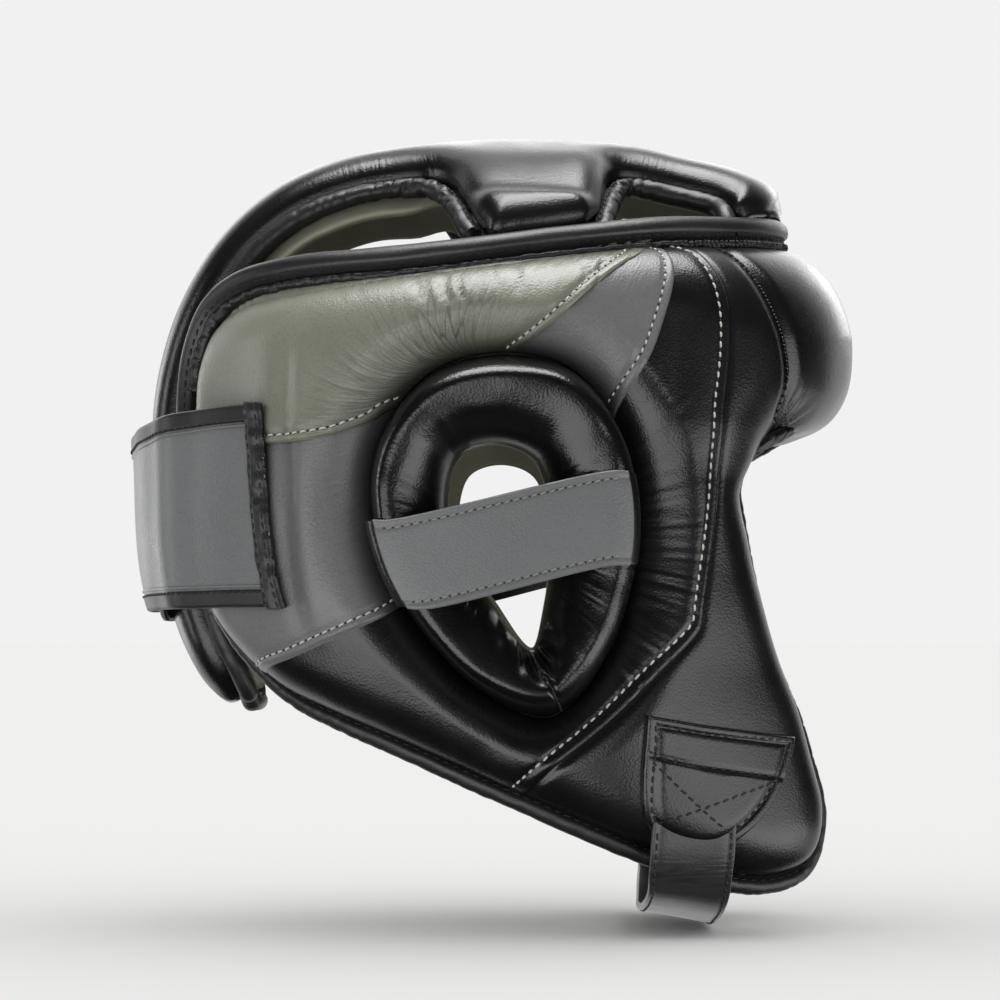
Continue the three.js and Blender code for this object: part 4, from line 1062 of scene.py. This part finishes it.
def crown_point(run, sideways, out):
    """Points along the crown's middle line, sideways round its bend, and out from its inner face."""
    bow = FRONT_BOW["depth"] * (sideways / FRONT_BOW["at"]) ** 2 * np.clip(1 - run / FRONT_BOW["fades"], 0, 1)
    place = np.clip(run + bow, 0, crown_length)
    past = run + bow - place
    x, z = np.moveaxis(crown_line(place), -1, 0)
    slope = crown_line(np.minimum(place + 0.5, crown_length)) - crown_line(np.maximum(place - 0.5, 0))
    tx, tz = np.moveaxis(unit(slope), -1, 0)
    turn = sideways / CROWN["bend"]
    rise = (CROWN["bend"] + out) * np.cos(turn) - CROWN["bend"]
    y = (CROWN["bend"] + out) * np.sin(turn)
    return np.stack(np.broadcast_arrays(x + tz * rise + tx * past, y, z - tx * rise + tz * past), -1)


edge_samples = crown_edge(np.linspace(0, len(sections) - 1, 2400))
edge_run = length_along(edge_samples)
crown_front = ((-CROWN["blunt"], 0), (-CROWN["blunt"], sections[0, 2]))
crown_outline = np.vstack([crown_front, edge_samples[::8], ((crown_length, 0),)])


def crown_out(run, sideways):
    """Heights over the crown's inner face, and distances from its cut edge."""
    distance = distance_to(run, np.abs(sideways), crown_outline)
    full = pillow(distance, CROWN["round"], CROWN["fullness"])
    out = mixed(CROWN["edge"], CROWN["thickness"], full)
    wing = eased(np.abs(sideways), 38, 70)
    valley = WING_ROLL["valley"] * eased(81 - np.abs(sideways), WING_ROLL["round"], WING_ROLL["behind"])
    roll = CROWN["edge"] + (WING_ROLL["high"] - valley) * pillow(distance, WING_ROLL["round"], 2)
    seat = CROWN_UNEVEN * noise(run / 21, sideways / 21, 71)
    front = np.sqrt(1 - (1 - np.clip((run + CROWN["lip"] + 0.6) / 12, 0, 1)) ** 2)
    return (mixed(out, roll, wing) + seat * pillow(distance, 12, 2)) * front, distance


def crown_stations(spacing):
    """Runs and half widths at even steps along the crown's cut edge."""
    at = np.arange(0, edge_run[-1], spacing)
    return [np.interp(at, edge_run, column)[:, None] for column in edge_samples.T]


def crown_pad():
    run, half = crown_stations(1.25)
    lip = np.arange(-CROWN["lip"], 0)[:, None]  # the front end, tucked down behind the rim
    run, half = np.vstack([lip, run]), np.vstack([np.full_like(lip, sections[0, 2]), half])
    share = 2 * crowded(80, fine=0.5, coarse=1.15, span=10)[None] - 1
    out, distance = crown_out(run, share * half)
    keep = few(share.size, 9)
    face = crown_point(run, share * half, out)
    behind = crown_point(run, share[:, keep] * half, 0 * half)
    # Creased most beside the vents, given by their rows in CROWN_SECTIONS
    vents = 0.5 * bump(run, section_run[17], 18) + 0.4 * bump(run, section_run[4], 12)
    marks = (1 - eased(distance, 3, 12)) * (0.1 + vents)
    marks = marks * eased(noise(run / 9, share * half / 9, 72), -0.5, 0.5)
    marks = np.hstack([np.clip(marks, 0, 1), np.zeros((len(run), len(keep)))])
    return loft(np.concatenate([face, behind], 1), creases=marks)


def crown_lining():
    run, cut = crown_stations(3.6)
    behind = eased(run, section_run[14], section_run[17]) * (1 - eased(run, section_run[22], section_run[25]))
    spare = CROWN_LINING["turned"] + CROWN_LINING["slack"] * behind
    half = cut + spare * (1 - eased(cut, 56, 66))
    share = np.linspace(-1, 1, 40)[None]
    droop = CROWN_LINING["droop"] * behind * eased(np.abs(share) * half - cut, -2, 10)
    sag = -CROWN_LINING["below"] + 0.3 * noise(run / 14, share * half / 14, 73) - droop
    inner, outer = crown_point(run, share * half, sag), crown_point(run, share * half, sag + LINING)
    return loft(np.concatenate([outer, inner[:, ::-1]], 1))


crown_leather = leather("crown_leather", "#09090a", 0.28, relief=0.7)
crown = piece("crown_cushion", [crown_pad()], [crown_leather], ["crown_pad"])
lining = piece("crown_lining", [crown_lining()], [olive_suede], ["lining_crown"])

# Bindings: strips of thin black leather folded over each raw edge and sewn through near their inner
# edge; on the crown's vents they are gathered round the curves.

BINDING_RUN = (  # row of the shell's edge, radius, and height out from the head form
    (0, 4.0, 9), (8, 4.0, 9), (10, 4.1, 10), (13, 4.0, 10.5), (14.5, 3.9, 9), (16.5, 3.7, 7.5),
    (20, 3.6, 6.5), (23, 3.4, 6), (25, 3.2, 5.4), (28, 3.0, 5), (31, 2.8, 5),
)
BINDING_AWAY = 3.4
BINDING_GROOVE = {"at": 40, "depth": 0.9, "spread": 9}  # the sewn line, in degrees round the roll
BINDING_FOLDS = {"spacing": 3.4, "sharp": 0.45, "uneven": 0.15}
VENT_BINDING = {"radius": 3.4, "away": 3.8, "foot": 7, "height": 2.0, "folds": 0.2}
SHELL_ROWS = {"rim": (1, 12.7), "piping": (1, 11.6), "edge": (12.9, 30.4)}  # rows of the edge it covers
CROWN_ROWS = {"vent": (0, 8.8), "back": (12.9, 32)}
BINDING_STITCH = {"pitch": 3.6, "length": 2.8, "width": 0.8, "look": 1}
VENT_STITCH = {"pitch": 3.2, "length": 2.4, "width": 0.7, "look": 1}
PIPING = {"away": -1.7, "radius": 2.5, "brow_radius": 2.7, "folds": 0.6, "brow_folds": 1.6, "rib": 1.9}
BINDING_SIDES = 18
binding_run = smooth_table(BINDING_RUN)


def tube(path, outward, toward, radius, ripple=0.0, seed=0, creases=0.0, rib=0.0):
    """A soft roll along a path with a sewn groove on the side towards its panel, and that groove's line."""
    along = unit(np.gradient(path, axis=0))
    side = unit(outward - (outward * along).sum(1, keepdims=True) * along)
    over = np.cross(along, side)
    over *= np.sign((over * toward).sum())
    spin = np.linspace(0, TURN, BINDING_SIDES, endpoint=False)
    run = length_along(path)[:, None]
    radius, ripple = (np.reshape(v, (-1, 1)) for v in (radius, ripple))
    fold = noise(run / BINDING_FOLDS["spacing"] + 0.3 * np.sin(spin), 0.6 * spin + 0 * run, seed)
    fold = 1 - np.minimum(np.abs(fold) / BINDING_FOLDS["sharp"], 1)
    if rib:  # close gathers where the ripple is strong
        ribs = (0.5 + 0.5 * np.cos(TURN * run / rib + 2.6 * noise(run / 5, 0.3 * spin + 0 * run, seed))) ** 2
        fold = mixed(fold, ribs, eased(ripple, 0.8, 1.5))
    off = (np.degrees(spin) - BINDING_GROOVE["at"] + 180) % 360 - 180
    groove = BINDING_GROOVE["depth"] * bump(off, 0, BINDING_GROOVE["spread"])
    uneven = BINDING_FOLDS["uneven"] * noise(run / 13, spin + 0 * run, seed + 1)
    size = radius - groove - ripple * fold + uneven
    spokes = np.cos(spin)[:, None] * side[:, None] + np.sin(spin)[:, None] * over[:, None]
    roll = loft(path[:, None] + size[..., None] * spokes, creases=np.full(size.shape, creases))
    turn = math.radians(BINDING_GROOVE["at"])
    away = math.cos(turn) * side + math.sin(turn) * over
    return roll, path + (radius - BINDING_GROOVE["depth"]) * away, away


def beside_shell(rows, away=BINDING_AWAY):
    radius, height = binding_run(rows).T
    along = unit(shell_edge(rows + 0.05) - shell_edge(rows - 0.05))
    edge = shell_edge(rows)
    place = edge + away * np.stack([along[:, 1], -along[:, 0]], -1)
    here, outward = on_wall(*place.T, height), on_wall(*place.T, height + 1)
    return here, outward - here, on_wall(*edge.T, height) - here, radius


binding_leather = leather("binding_leather", "#121213", 0.42, relief=0.6, grain_mm=0.6, crease_mm=2.6,
                          crease_depth=0.0003)


def both_sides(values):
    """Carries a run on the right on round the front to the left."""
    return [np.concatenate([v[::-1], v[1:] * ((1, -1, 1) if v.ndim > 1 else 1)]) for v in values]


rim_roll = both_sides(beside_shell(np.linspace(*SHELL_ROWS["rim"], 300)))
rim_tube, rim_groove, rim_away = tube(*rim_roll, seed=81, creases=0.1)
piping_at = np.linspace(*SHELL_ROWS["piping"], 560)
*piping, _ = beside_shell(piping_at, PIPING["away"])
past_brow = eased(piping_at, 3.4, 5.2)
piping_size = mixed(PIPING["brow_radius"], PIPING["radius"], past_brow)
piping_folds = mixed(PIPING["brow_folds"], PIPING["folds"], past_brow)
piping = both_sides([*piping, piping_size, piping_folds])
piping_tube = tube(*piping[:4], ripple=piping[4], seed=88, creases=0.5, rib=PIPING["rib"])[0]
rim_sewn = stitches(rim_groove, rim_away, seed=82, **BINDING_STITCH)
binding_looks = [binding_leather, black_thread]
piece("rim_roll", [rim_tube, piping_tube, rim_sewn], binding_looks, ["rim_binding"])

edge_roll = beside_shell(np.linspace(*SHELL_ROWS["edge"], 400))
edge_tube, edge_groove, edge_away = tube(*edge_roll, ripple=0.25, seed=83, creases=0.1)
# Folds at the eye corner: where each starts, in degrees, height and out from the head form
TUCKS = ((22, -86.4, 14), (26, -86.8, 16), (30, -87.8, 17), (33.5, -89.5, 17), (37, -92.5, 15))
TUCK = {"end": (38.5, -95), "step": (0.3, -1.1), "end_out": 8, "bow": 2.5, "thin": 0.5, "thick": 2.1}
tuck_share = np.linspace(0, 1, 24)
tucks = []
for k, (angle, z, out) in enumerate(TUCKS):
    tuck_end = flat([at + k * step for at, step in zip(TUCK["end"], TUCK["step"])])
    u, z = (mixed(a, b, tuck_share) for a, b in zip(flat((angle, z)), tuck_end))
    out = mixed(out, TUCK["end_out"], tuck_share) + TUCK["bow"] * tuck_share * (1 - tuck_share)
    path = on_wall(u, z, out)
    outward, upward = on_wall(u, z, out + 1) - path, np.array(((0, 0, 1.0),))
    size = TUCK["thin"] + TUCK["thick"] * np.sin(math.pi * tuck_share) ** 0.6
    tucks.append(tube(path, outward, upward, size, ripple=0.4, seed=130 + k)[0])
edge_sewn = stitches(edge_groove, edge_away, seed=84, **BINDING_STITCH)
pair("edge_roll", [edge_tube, *tucks, edge_sewn], binding_looks, "edge_binding")


def beside_crown(rows):
    place = crown_edge(rows)
    along = unit(crown_edge(rows + 0.05) - crown_edge(rows - 0.05))
    run = place[:, 0] - along[:, 1] * VENT_BINDING["away"]
    sideways = place[:, 1] + along[:, 0] * VENT_BINDING["away"]
    height = VENT_BINDING["height"]
    here = crown_point(run, -sideways, height)
    toward = crown_point(place[:, 0], -place[:, 1], height) - here
    return here, crown_point(run, -sideways, height + 1) - here, toward


vent_rows = np.linspace(*CROWN_ROWS["vent"], 220)
vent_path, vent_out, vent_toward = beside_crown(vent_rows)
ahead = VENT_BINDING["foot"] * unit(vent_path[0] - vent_path[2])
drop = np.array((0, 0, 0.8 * VENT_BINDING["foot"]))
foot_steps = np.linspace(1, 0, 10, endpoint=False)[:, None]
vent_foot = vent_path[0] + foot_steps * ahead - foot_steps**1.5 * drop  # down behind the rim
vent_path = np.vstack([vent_foot, vent_path])
steps = len(foot_steps)
vent_out, vent_toward = (np.vstack([np.repeat(v[:1], steps, 0), v]) for v in (vent_out, vent_toward))
vent_gathers = np.concatenate([np.zeros(steps), 1.3 * bump(vent_rows, 5.6, 1.5)])
vent_folds = VENT_BINDING["folds"] + vent_gathers
vent_tube, vent_groove, vent_away = tube(vent_path, vent_out, vent_toward, VENT_BINDING["radius"], seed=85,
                                         creases=0.15, ripple=vent_folds)
vent_sewn = stitches(vent_groove, vent_away, seed=86, **VENT_STITCH)
pair("vent_roll", [vent_tube, vent_sewn], binding_looks, "vent_binding")
back_rows = np.linspace(*CROWN_ROWS["back"], 360)
back_roll = beside_crown(back_rows)
back_roll = [np.vstack([v, v[::-1] * (1, -1, 1)]) for v in back_roll]
back_folds = VENT_BINDING["folds"] + 1.2 * bump(back_rows, 16, 2.0)
back_tube, back_groove, back_away = tube(*back_roll, VENT_BINDING["radius"], seed=87, creases=0.15,
                                         ripple=np.concatenate([back_folds, back_folds[::-1]]))
back_sewn = stitches(back_groove, back_away, seed=89, **VENT_STITCH)
piece("back_roll", [back_tube, back_sewn], binding_looks, ["back_binding"])

# Rear strap: two wide bands of grey leather that lap and grip behind the head, each sewn to a side pad
# under a black tape; the outer one's long edges are bound in black.

REAR_RUN = (  # degrees, inner face out, tuck of the foot, top and bottom
    (127, 25.5, 0, -81, -147.5), (143, 25.8, 0, -83, -148), (157, 20.8, 1, -86.5, -148.5),
    (180, 15.8, 2, -89, -149), (203, 20.8, 1, -86.5, -148.5), (217, 25.8, 0, -83, -148),
    (233, 25.5, 0, -81, -147.5),
)
REAR_THICK = 2.4
BINDING_HEIGHT, BINDING_THICK = 6.5, 3.4
REAR_ENDS = {"outer": (127, 222), "inner": (152, 232.8)}  # degrees
LAP_LIFT = 3.2  # of the outer half, over the inner
WELT = {"width": 1.2, "thickness": 0.9, "proud": 0.5}  # the raised line inside each binding
TAPE = {"angles": (125.6, 127.8), "heights": (-148, -80.6), "half_width": 1.55, "out": 3.4, "thickness": 4.4}
rear_run = smooth_table(REAR_RUN)


def rear_face(angles, heights, lift):
    """A face of the band: its heights follow from the band's top and bottom, and lift stands it out."""
    out, tuck, top, bottom = np.moveaxis(rear_run(angles[:, None]), -1, 0)
    z = heights(top, bottom)
    u = (90 - angles[:, None]) * MM_PER_DEGREE
    return on_wall(u + 0 * z, z, out + lift - tuck * (top - z) / (top - bottom))


def lap_lift(angle):
    return (LAP_LIFT * eased(angle, 139, 149))[:, None]


strap_angles = np.linspace(*REAR_ENDS["outer"], 150)
across = crowded(60, fine=0.5, coarse=2)
# Soft upright folds: degrees, spread and height
REAR_FOLDS = ((157, 5, 1.0), (144.5, 4, 0.9), (172, 6, 0.7), (196, 7, 0.8))
wave = 0.35 * noise(strap_angles[:, None] / 9, 0 * strap_angles[:, None], 91)
for at, spread, height in REAR_FOLDS:
    wave = wave + height * bump(strap_angles[:, None], at, spread)


def main_band(top, bottom):
    return mixed(bottom + 4, top - 4, across)


outer_face = rear_face(strap_angles, main_band, lap_lift(strap_angles) + REAR_THICK + wave)
outer_band = ribbon(outer_face, REAR_THICK)[0]
welt_up = WELT["width"] * np.linspace(0, 1, 6)
welt_heights = (lambda top, bottom: top - BINDING_HEIGHT - WELT["width"] + welt_up,
                lambda top, bottom: bottom + BINDING_HEIGHT + welt_up)
welts = []
for heights in welt_heights:
    welt = rear_face(strap_angles, heights, lap_lift(strap_angles) + REAR_THICK + wave + WELT["proud"])
    welts.append(ribbon(welt, WELT["thickness"], edge=0.5)[0])
outer = piece("rear_band_outer", [outer_band, *welts], [strap_leather], ["rear_strap_right"])

inner_angles = np.linspace(*REAR_ENDS["inner"], 120)
corner_cut = (7 * (1 - eased(inner_angles, 150, 177)))[:, None]  # its lower corner is rounded off


def inner_heights(top, bottom):
    return mixed(bottom - 3 + corner_cut, top - 4, across)


inner_face = rear_face(inner_angles, inner_heights, REAR_THICK)
inner_band = ribbon(inner_face, REAR_THICK)[0]
inner = piece("rear_band_inner", [inner_band], [strap_leather], ["rear_strap_left"])

edge_share = crowded(BINDING_HEIGHT, fine=0.25, coarse=0.5, span=2)
binding_lift = lap_lift(strap_angles) - 0.5 + BINDING_THICK + wave
binding_heights = (("top", lambda top, bottom: top - BINDING_HEIGHT + BINDING_HEIGHT * edge_share, 4),
                   ("bottom", lambda top, bottom: bottom + BINDING_HEIGHT * edge_share, -5))
for name, heights, stitch_at in binding_heights:
    face = rear_face(strap_angles, heights, binding_lift)
    band, top_face, away = ribbon(face, BINDING_THICK, edge=1.6)
    piece(f"rear_band_{name}_roll", [band], [binding_leather],
          [f"rear_strap_binding_{name}"])
    piece(f"rear_band_{name}_stitching",
          [stitches(top_face[:, stitch_at], away[:, stitch_at], pitch=3.0, length=2.4, width=0.7, seed=93)],
          [black_thread], [])

tape_across, tape_share = crowded(5, fine=0.25, coarse=0.6, span=1.5), np.linspace(0, 1, 150)
tape_angle = mixed(*TAPE["angles"], tape_share)[:, None] + TAPE["half_width"] * (2 * tape_across - 1)
tape_z = mixed(*TAPE["heights"], tape_share)[:, None] + 0 * tape_angle
pucker = 0.5 * noise(tape_share[:, None] * 24, 1.5 * tape_across[None], 94)
tape_out = rear_run(tape_angle)[..., 0] + TAPE["out"] + pucker
tape_face = on_wall((90 - tape_angle) * MM_PER_DEGREE, tape_z, tape_out)
tape_band, tape_top, tape_away = ribbon(tape_face, TAPE["thickness"], dips=((1.2, 0.35, 0.4),), edge=1.3)
tape_rows = [tape_band]
for column in (4, -5):
    tape_rows.append(stitches(tape_top[:, column], tape_away[:, column], pitch=3.2, length=2.5, width=0.7,
                              seed=95, look=1))
pair("rear_band_tape", tape_rows, binding_looks, "rear_strap_tape")

# Chin strap and its patches: a black leather strap under the chin, its ends sewn under D-shaped
# doubled patches with a box and cross of black stitches.

PATCH_TOP = ((71.2, -182.1), (67.3, -183.4), (62.2, -185.1), (56.7, -186.5), (50.8, -187.9), (43.2, -189.5))
PATCH_ROUND = (
    (43.2, -189.5), (44.4, -193.1), (48, -202.2), (53.4, -212.2), (60, -220.9), (64.9, -225.8),
    (67.9, -227.1), (72.6, -226.4), (76.9, -222.6), (78.6, -217), (78.2, -211.6), (76.1, -201.5),
    (73.3, -190.5), (71.2, -182.1),
)
PATCH_CROSS = ((73.3, -195), (66.6, -198.1), (58.4, -200.6), (49.3, -202.8))
PATCH_BRACES = (((73.5, -196.7), (70.2, -206.5), (66.4, -215.8), (62.5, -222.5)),
                ((77, -217.5), (69.8, -213.7), (60, -208.4), (50.1, -203.4)))
# The strap's inner face: height, rear edge x and y, front edge x and y, and how much higher its rear edge is
CHIN_RUN = (
    (-216, 57, -82, 84.5, -76, 0), (-225.2, 56.3, -80.6, 84.2, -74.2, 0),
    (-233, 56, -77.2, 83.5, -71.2, 0.5), (-240, 56, -71, 83, -65.5, 2),
    (-245.3, 55.5, -60, 82, -56, 3.5), (-249, 55, -43, 81, -41, 4.5), (-251.8, 54.5, -22, 80.5, -21, 5),
    (-252.5, 54, 0, 80, 0, 5),
)
CHIN_THICK = 2.4
JAW_MIDDLE = (60, 0, -150)
PATCH = {"gap": 0.3, "height": 2.2, "strap": 0.9, "sewn": 3.2}  # over the pad, over the strap, and its row

chin_rows = np.array(CHIN_RUN)
chin_rows = np.vstack([chin_rows, (chin_rows[:-1] * (1, 1, -1, 1, -1, 1))[::-1]])
read_chin = smooth_line(chin_rows)
chin_table = read_chin(np.linspace(0, len(chin_rows) - 1, 150))
rear_edge = np.stack([chin_table[:, 1], chin_table[:, 2], chin_table[:, 0] + chin_table[:, 5]], -1)
front_edge = np.stack([chin_table[:, 3], chin_table[:, 4], chin_table[:, 0]], -1)
chin_share = crowded(28, fine=0.3, coarse=1.5)
chin_inner = mixed(rear_edge[:, None], front_edge[:, None], chin_share[None, :, None])
along, across_chin = np.gradient(chin_inner, axis=0), np.gradient(chin_inner, axis=1)
chin_away = unit(np.cross(across_chin, along))
chin_away *= np.sign((chin_away * (chin_inner - JAW_MIDDLE)).sum())
pulled = 0.7 * bump(chin_inner[..., 2], -233, 5)  # creased where it comes out from under the patch
chin_band, chin_top, chin_out = ribbon(chin_inner + CHIN_THICK * chin_away, CHIN_THICK,
                                       dips=((2.6, 0.3, 0.6),), creases=pulled)
chin_parts = [chin_band]
for column in (5, -6):
    chin_parts.append(stitches(chin_top[4:-4, column], chin_out[4:-4, column], pitch=3.4, length=2.6,
                               width=0.75, seed=101, look=1))
chin_leather = leather("chin_leather", "#242425", 0.34, relief=0.6, crease_mm=1.4)
chin = piece("chin_band", chin_parts, [chin_leather, black_thread], ["chin_strap"])

patch_loop = np.vstack([line_of(PATCH_TOP)[:-1], line_of(PATCH_ROUND)[:-1]])
patch_middle = patch_loop.mean(0)
patch_spokes = patch_loop - patch_middle
patch_share = np.concatenate([(0.0004, 0.002, 0.008, 0.03), np.linspace(0.08, 0.8, 17),
                              np.linspace(0.83, 1, 16)])
patch_places = patch_middle + patch_spokes[:, None] * patch_share[None, :, None]
patch_u, patch_z = np.moveaxis(patch_places, -1, 0)
patch_cross = line_of(PATCH_CROSS)


def patch_out(u, z):
    edge = distance_to(u, z, np.vstack([patch_loop, patch_loop[:1]]))
    fold = np.sqrt(1 - (1 - np.clip(edge / 1.1, 0, 1)) ** 2)
    below_row = np.interp(u, patch_cross[:, 0], patch_cross[:, 1]) - z
    strap = PATCH["strap"] * eased(below_row, -1, 1.5) * eased(edge, 3, 6)
    sewn_down = 0.5 * bump(edge, PATCH["sewn"], 0.8) + 0.6 * bump(distance_to(u, z, patch_cross), 0, 0.8)
    return pad_out(u, z) + PATCH["gap"] + PATCH["height"] * fold + strap - sewn_down


patch_face = on_wall(patch_u, patch_z, patch_out(patch_u, patch_z))
patch_back = on_wall(patch_u[:, [-1, 0]], patch_z[:, [-1, 0]], pad_out(patch_u, patch_z)[:, [-1, 0]] + 0.1)
patch_body = loft(np.concatenate([patch_face, patch_back], 1), around=True)
patch_inset = patch_loop - PATCH["sewn"] * unit(patch_spokes)
patch_lines = [np.vstack([patch_inset, patch_inset[:1]]), patch_cross, *map(line_of, PATCH_BRACES)]
patch_rows = [patch_body]
for seed, line in enumerate(patch_lines, 102):
    path, away = on_panel(line, patch_out)
    patch_rows.append(stitches(path, away, pitch=3.3, length=2.5, width=0.8, seed=seed, look=1))
patches = pair("chin_patch_leather", patch_rows, [black_leather, black_thread], "chin_patch")

# Studio: a pale floor just under the chin strap and a pale room, one wide soft light overhead and small ones
# low down and at the edges, on the headgear alone. Dark cards all round keep the black leather's gloss dark.
# The camera stands level with the cheeks, 1.4 m to the wearer's right.

FLOOR_Z, FLOOR_HALF = cad_box[0][2] - 0.0006, 30
floor_mesh = bpy.data.meshes.new("floor")
floor_corners = [(x * FLOOR_HALF, y * FLOOR_HALF, FLOOR_Z) for x, y in ((-1, -1), (1, -1), (1, 1), (-1, 1))]
floor_mesh.from_pydata(floor_corners, [], [(0, 1, 2, 3)])
floor = bpy.data.objects.new("floor", floor_mesh)
bpy.context.collection.objects.link(floor)
floor.visible_glossy = False  # the leather mirrors the cards and lamps only


def matt(name, code, mirror):
    """A plain matt card or paper of the studio."""
    material = bpy.data.materials.new(name)
    material.use_nodes = True
    surface = material.node_tree.nodes["Principled BSDF"].inputs
    surface["Base Color"].default_value = colour(code)
    surface["Roughness"].default_value = 1.0
    surface["Specular IOR Level"].default_value = mirror
    return material


floor_mesh.materials.append(matt("studio_paper", "#fefefd", 0.0))
card_black = matt("black_card", "#101010", 0.5)


def card(name, corners):
    """A dark card that only glossy reflections see."""
    mesh = bpy.data.meshes.new(name)
    mesh.from_pydata(corners, [], [(0, 1, 2, 3)])
    mesh.materials.append(card_black)
    made = bpy.data.objects.new(name, mesh)
    bpy.context.collection.objects.link(made)
    made.visible_camera = made.visible_diffuse = made.visible_shadow = False


# The cards' room in metres. The overhead light comes in past their edges above.
CARD_ROOM = {"side": 1.3, "near": -2.9, "far": 0.9, "above": 1.3, "below": -1.2, "opening": -0.75}
side, near, far, above, below, opening = CARD_ROOM.values()


def level_card(name, xs, ys, z):
    """A level card between two places along x and two along y."""
    card(name, [(xs[0], ys[0], z), (xs[1], ys[0], z), (xs[1], ys[1], z), (xs[0], ys[1], z)])


for name, x, foot_z in (("card_front", side, -0.45), ("card_rear", -side, below)):
    card(name, [(x, near, foot_z), (x, far, foot_z), (x, far, above), (x, near, above)])
    level_card(f"{name}_above", (x, x / 2), (opening, far), above)
level_card("card_above", (-side, side), (near, opening), above)
level_card("card_below", (-side, side), (near, far), below)
behind_camera = [(-side, near, below), (side, near, below), (side, near, above), (-side, near, above)]
card("card_behind_camera", behind_camera)

world = bpy.data.worlds.new("studio")
bpy.context.scene.world = world
world.use_nodes = True
world.node_tree.nodes["Background"].inputs["Color"].default_value = colour("#f1f1f1")
world.node_tree.nodes["Background"].inputs["Strength"].default_value = 1.0


def softbox(name, place, target, size, power):
    light = bpy.data.lights.new(name, "AREA")
    light.shape = "RECTANGLE"
    light.size, light.size_y = size
    light.energy = power
    lamp = bpy.data.objects.new(name, light)
    lamp.location = place
    lamp.rotation_euler = (Vector(target) - Vector(place)).to_track_quat("-Z", "Y").to_euler()
    lamp.visible_camera = False
    lamp.light_linking.receiver_collection = lamp.light_linking.blocker_collection = headgear
    bpy.context.collection.objects.link(lamp)


LAMPS = (  # name, place, target, size in metres, and watts
    ("overhead", (0.05, -0.1, 1.15), (0, 0, -0.1), (1.1, 0.9), 27),
    ("low_front", (0.97, -0.68, -0.52), (0, 0, -0.12), (1.5, 0.95), 8.8),
    ("low_rear", (-0.51, -1.0, -0.53), (0, 0, -0.12), (1.3, 0.9), 10),
    ("rear_strip", (-1.2, 0.05, -0.1), (0, 0, -0.1), (0.2, 1.0), 2.8),
    ("rear_edge", (-0.9, 1.0, -0.1), (-0.1, 0, -0.1), (0.3, 0.8), 1.9),
    ("front_edge", (0.75, 1.3, 0.35), (0.1, 0, -0.05), (0.3, 0.5), 1.8),
    ("beside_camera", (0, -2.2, 0.25), (0, 0, -0.1), (1.2, 0.35), 0.3),
    ("behind", (0, 2.2, 1.0), (0, 0, 0), (2.6, 1.0), 16),
)
for lamp in LAMPS:
    softbox(*lamp)

CAMERA = (0.0235, -1.4, -0.1546)
AIM = (0.00694, 0, -0.10975)
FOCAL_MM, SENSOR_MM = 146.1, 36
lens = bpy.data.cameras.new("camera")
lens.lens, lens.sensor_width = FOCAL_MM, SENSOR_MM
camera = bpy.data.objects.new("camera", lens)
camera.location = CAMERA
camera.rotation_euler = (Vector(AIM) - Vector(CAMERA)).to_track_quat("-Z", "Y").to_euler()
bpy.context.collection.objects.link(camera)
bpy.context.scene.camera = camera
bpy.context.scene.view_settings.view_transform = "Standard"
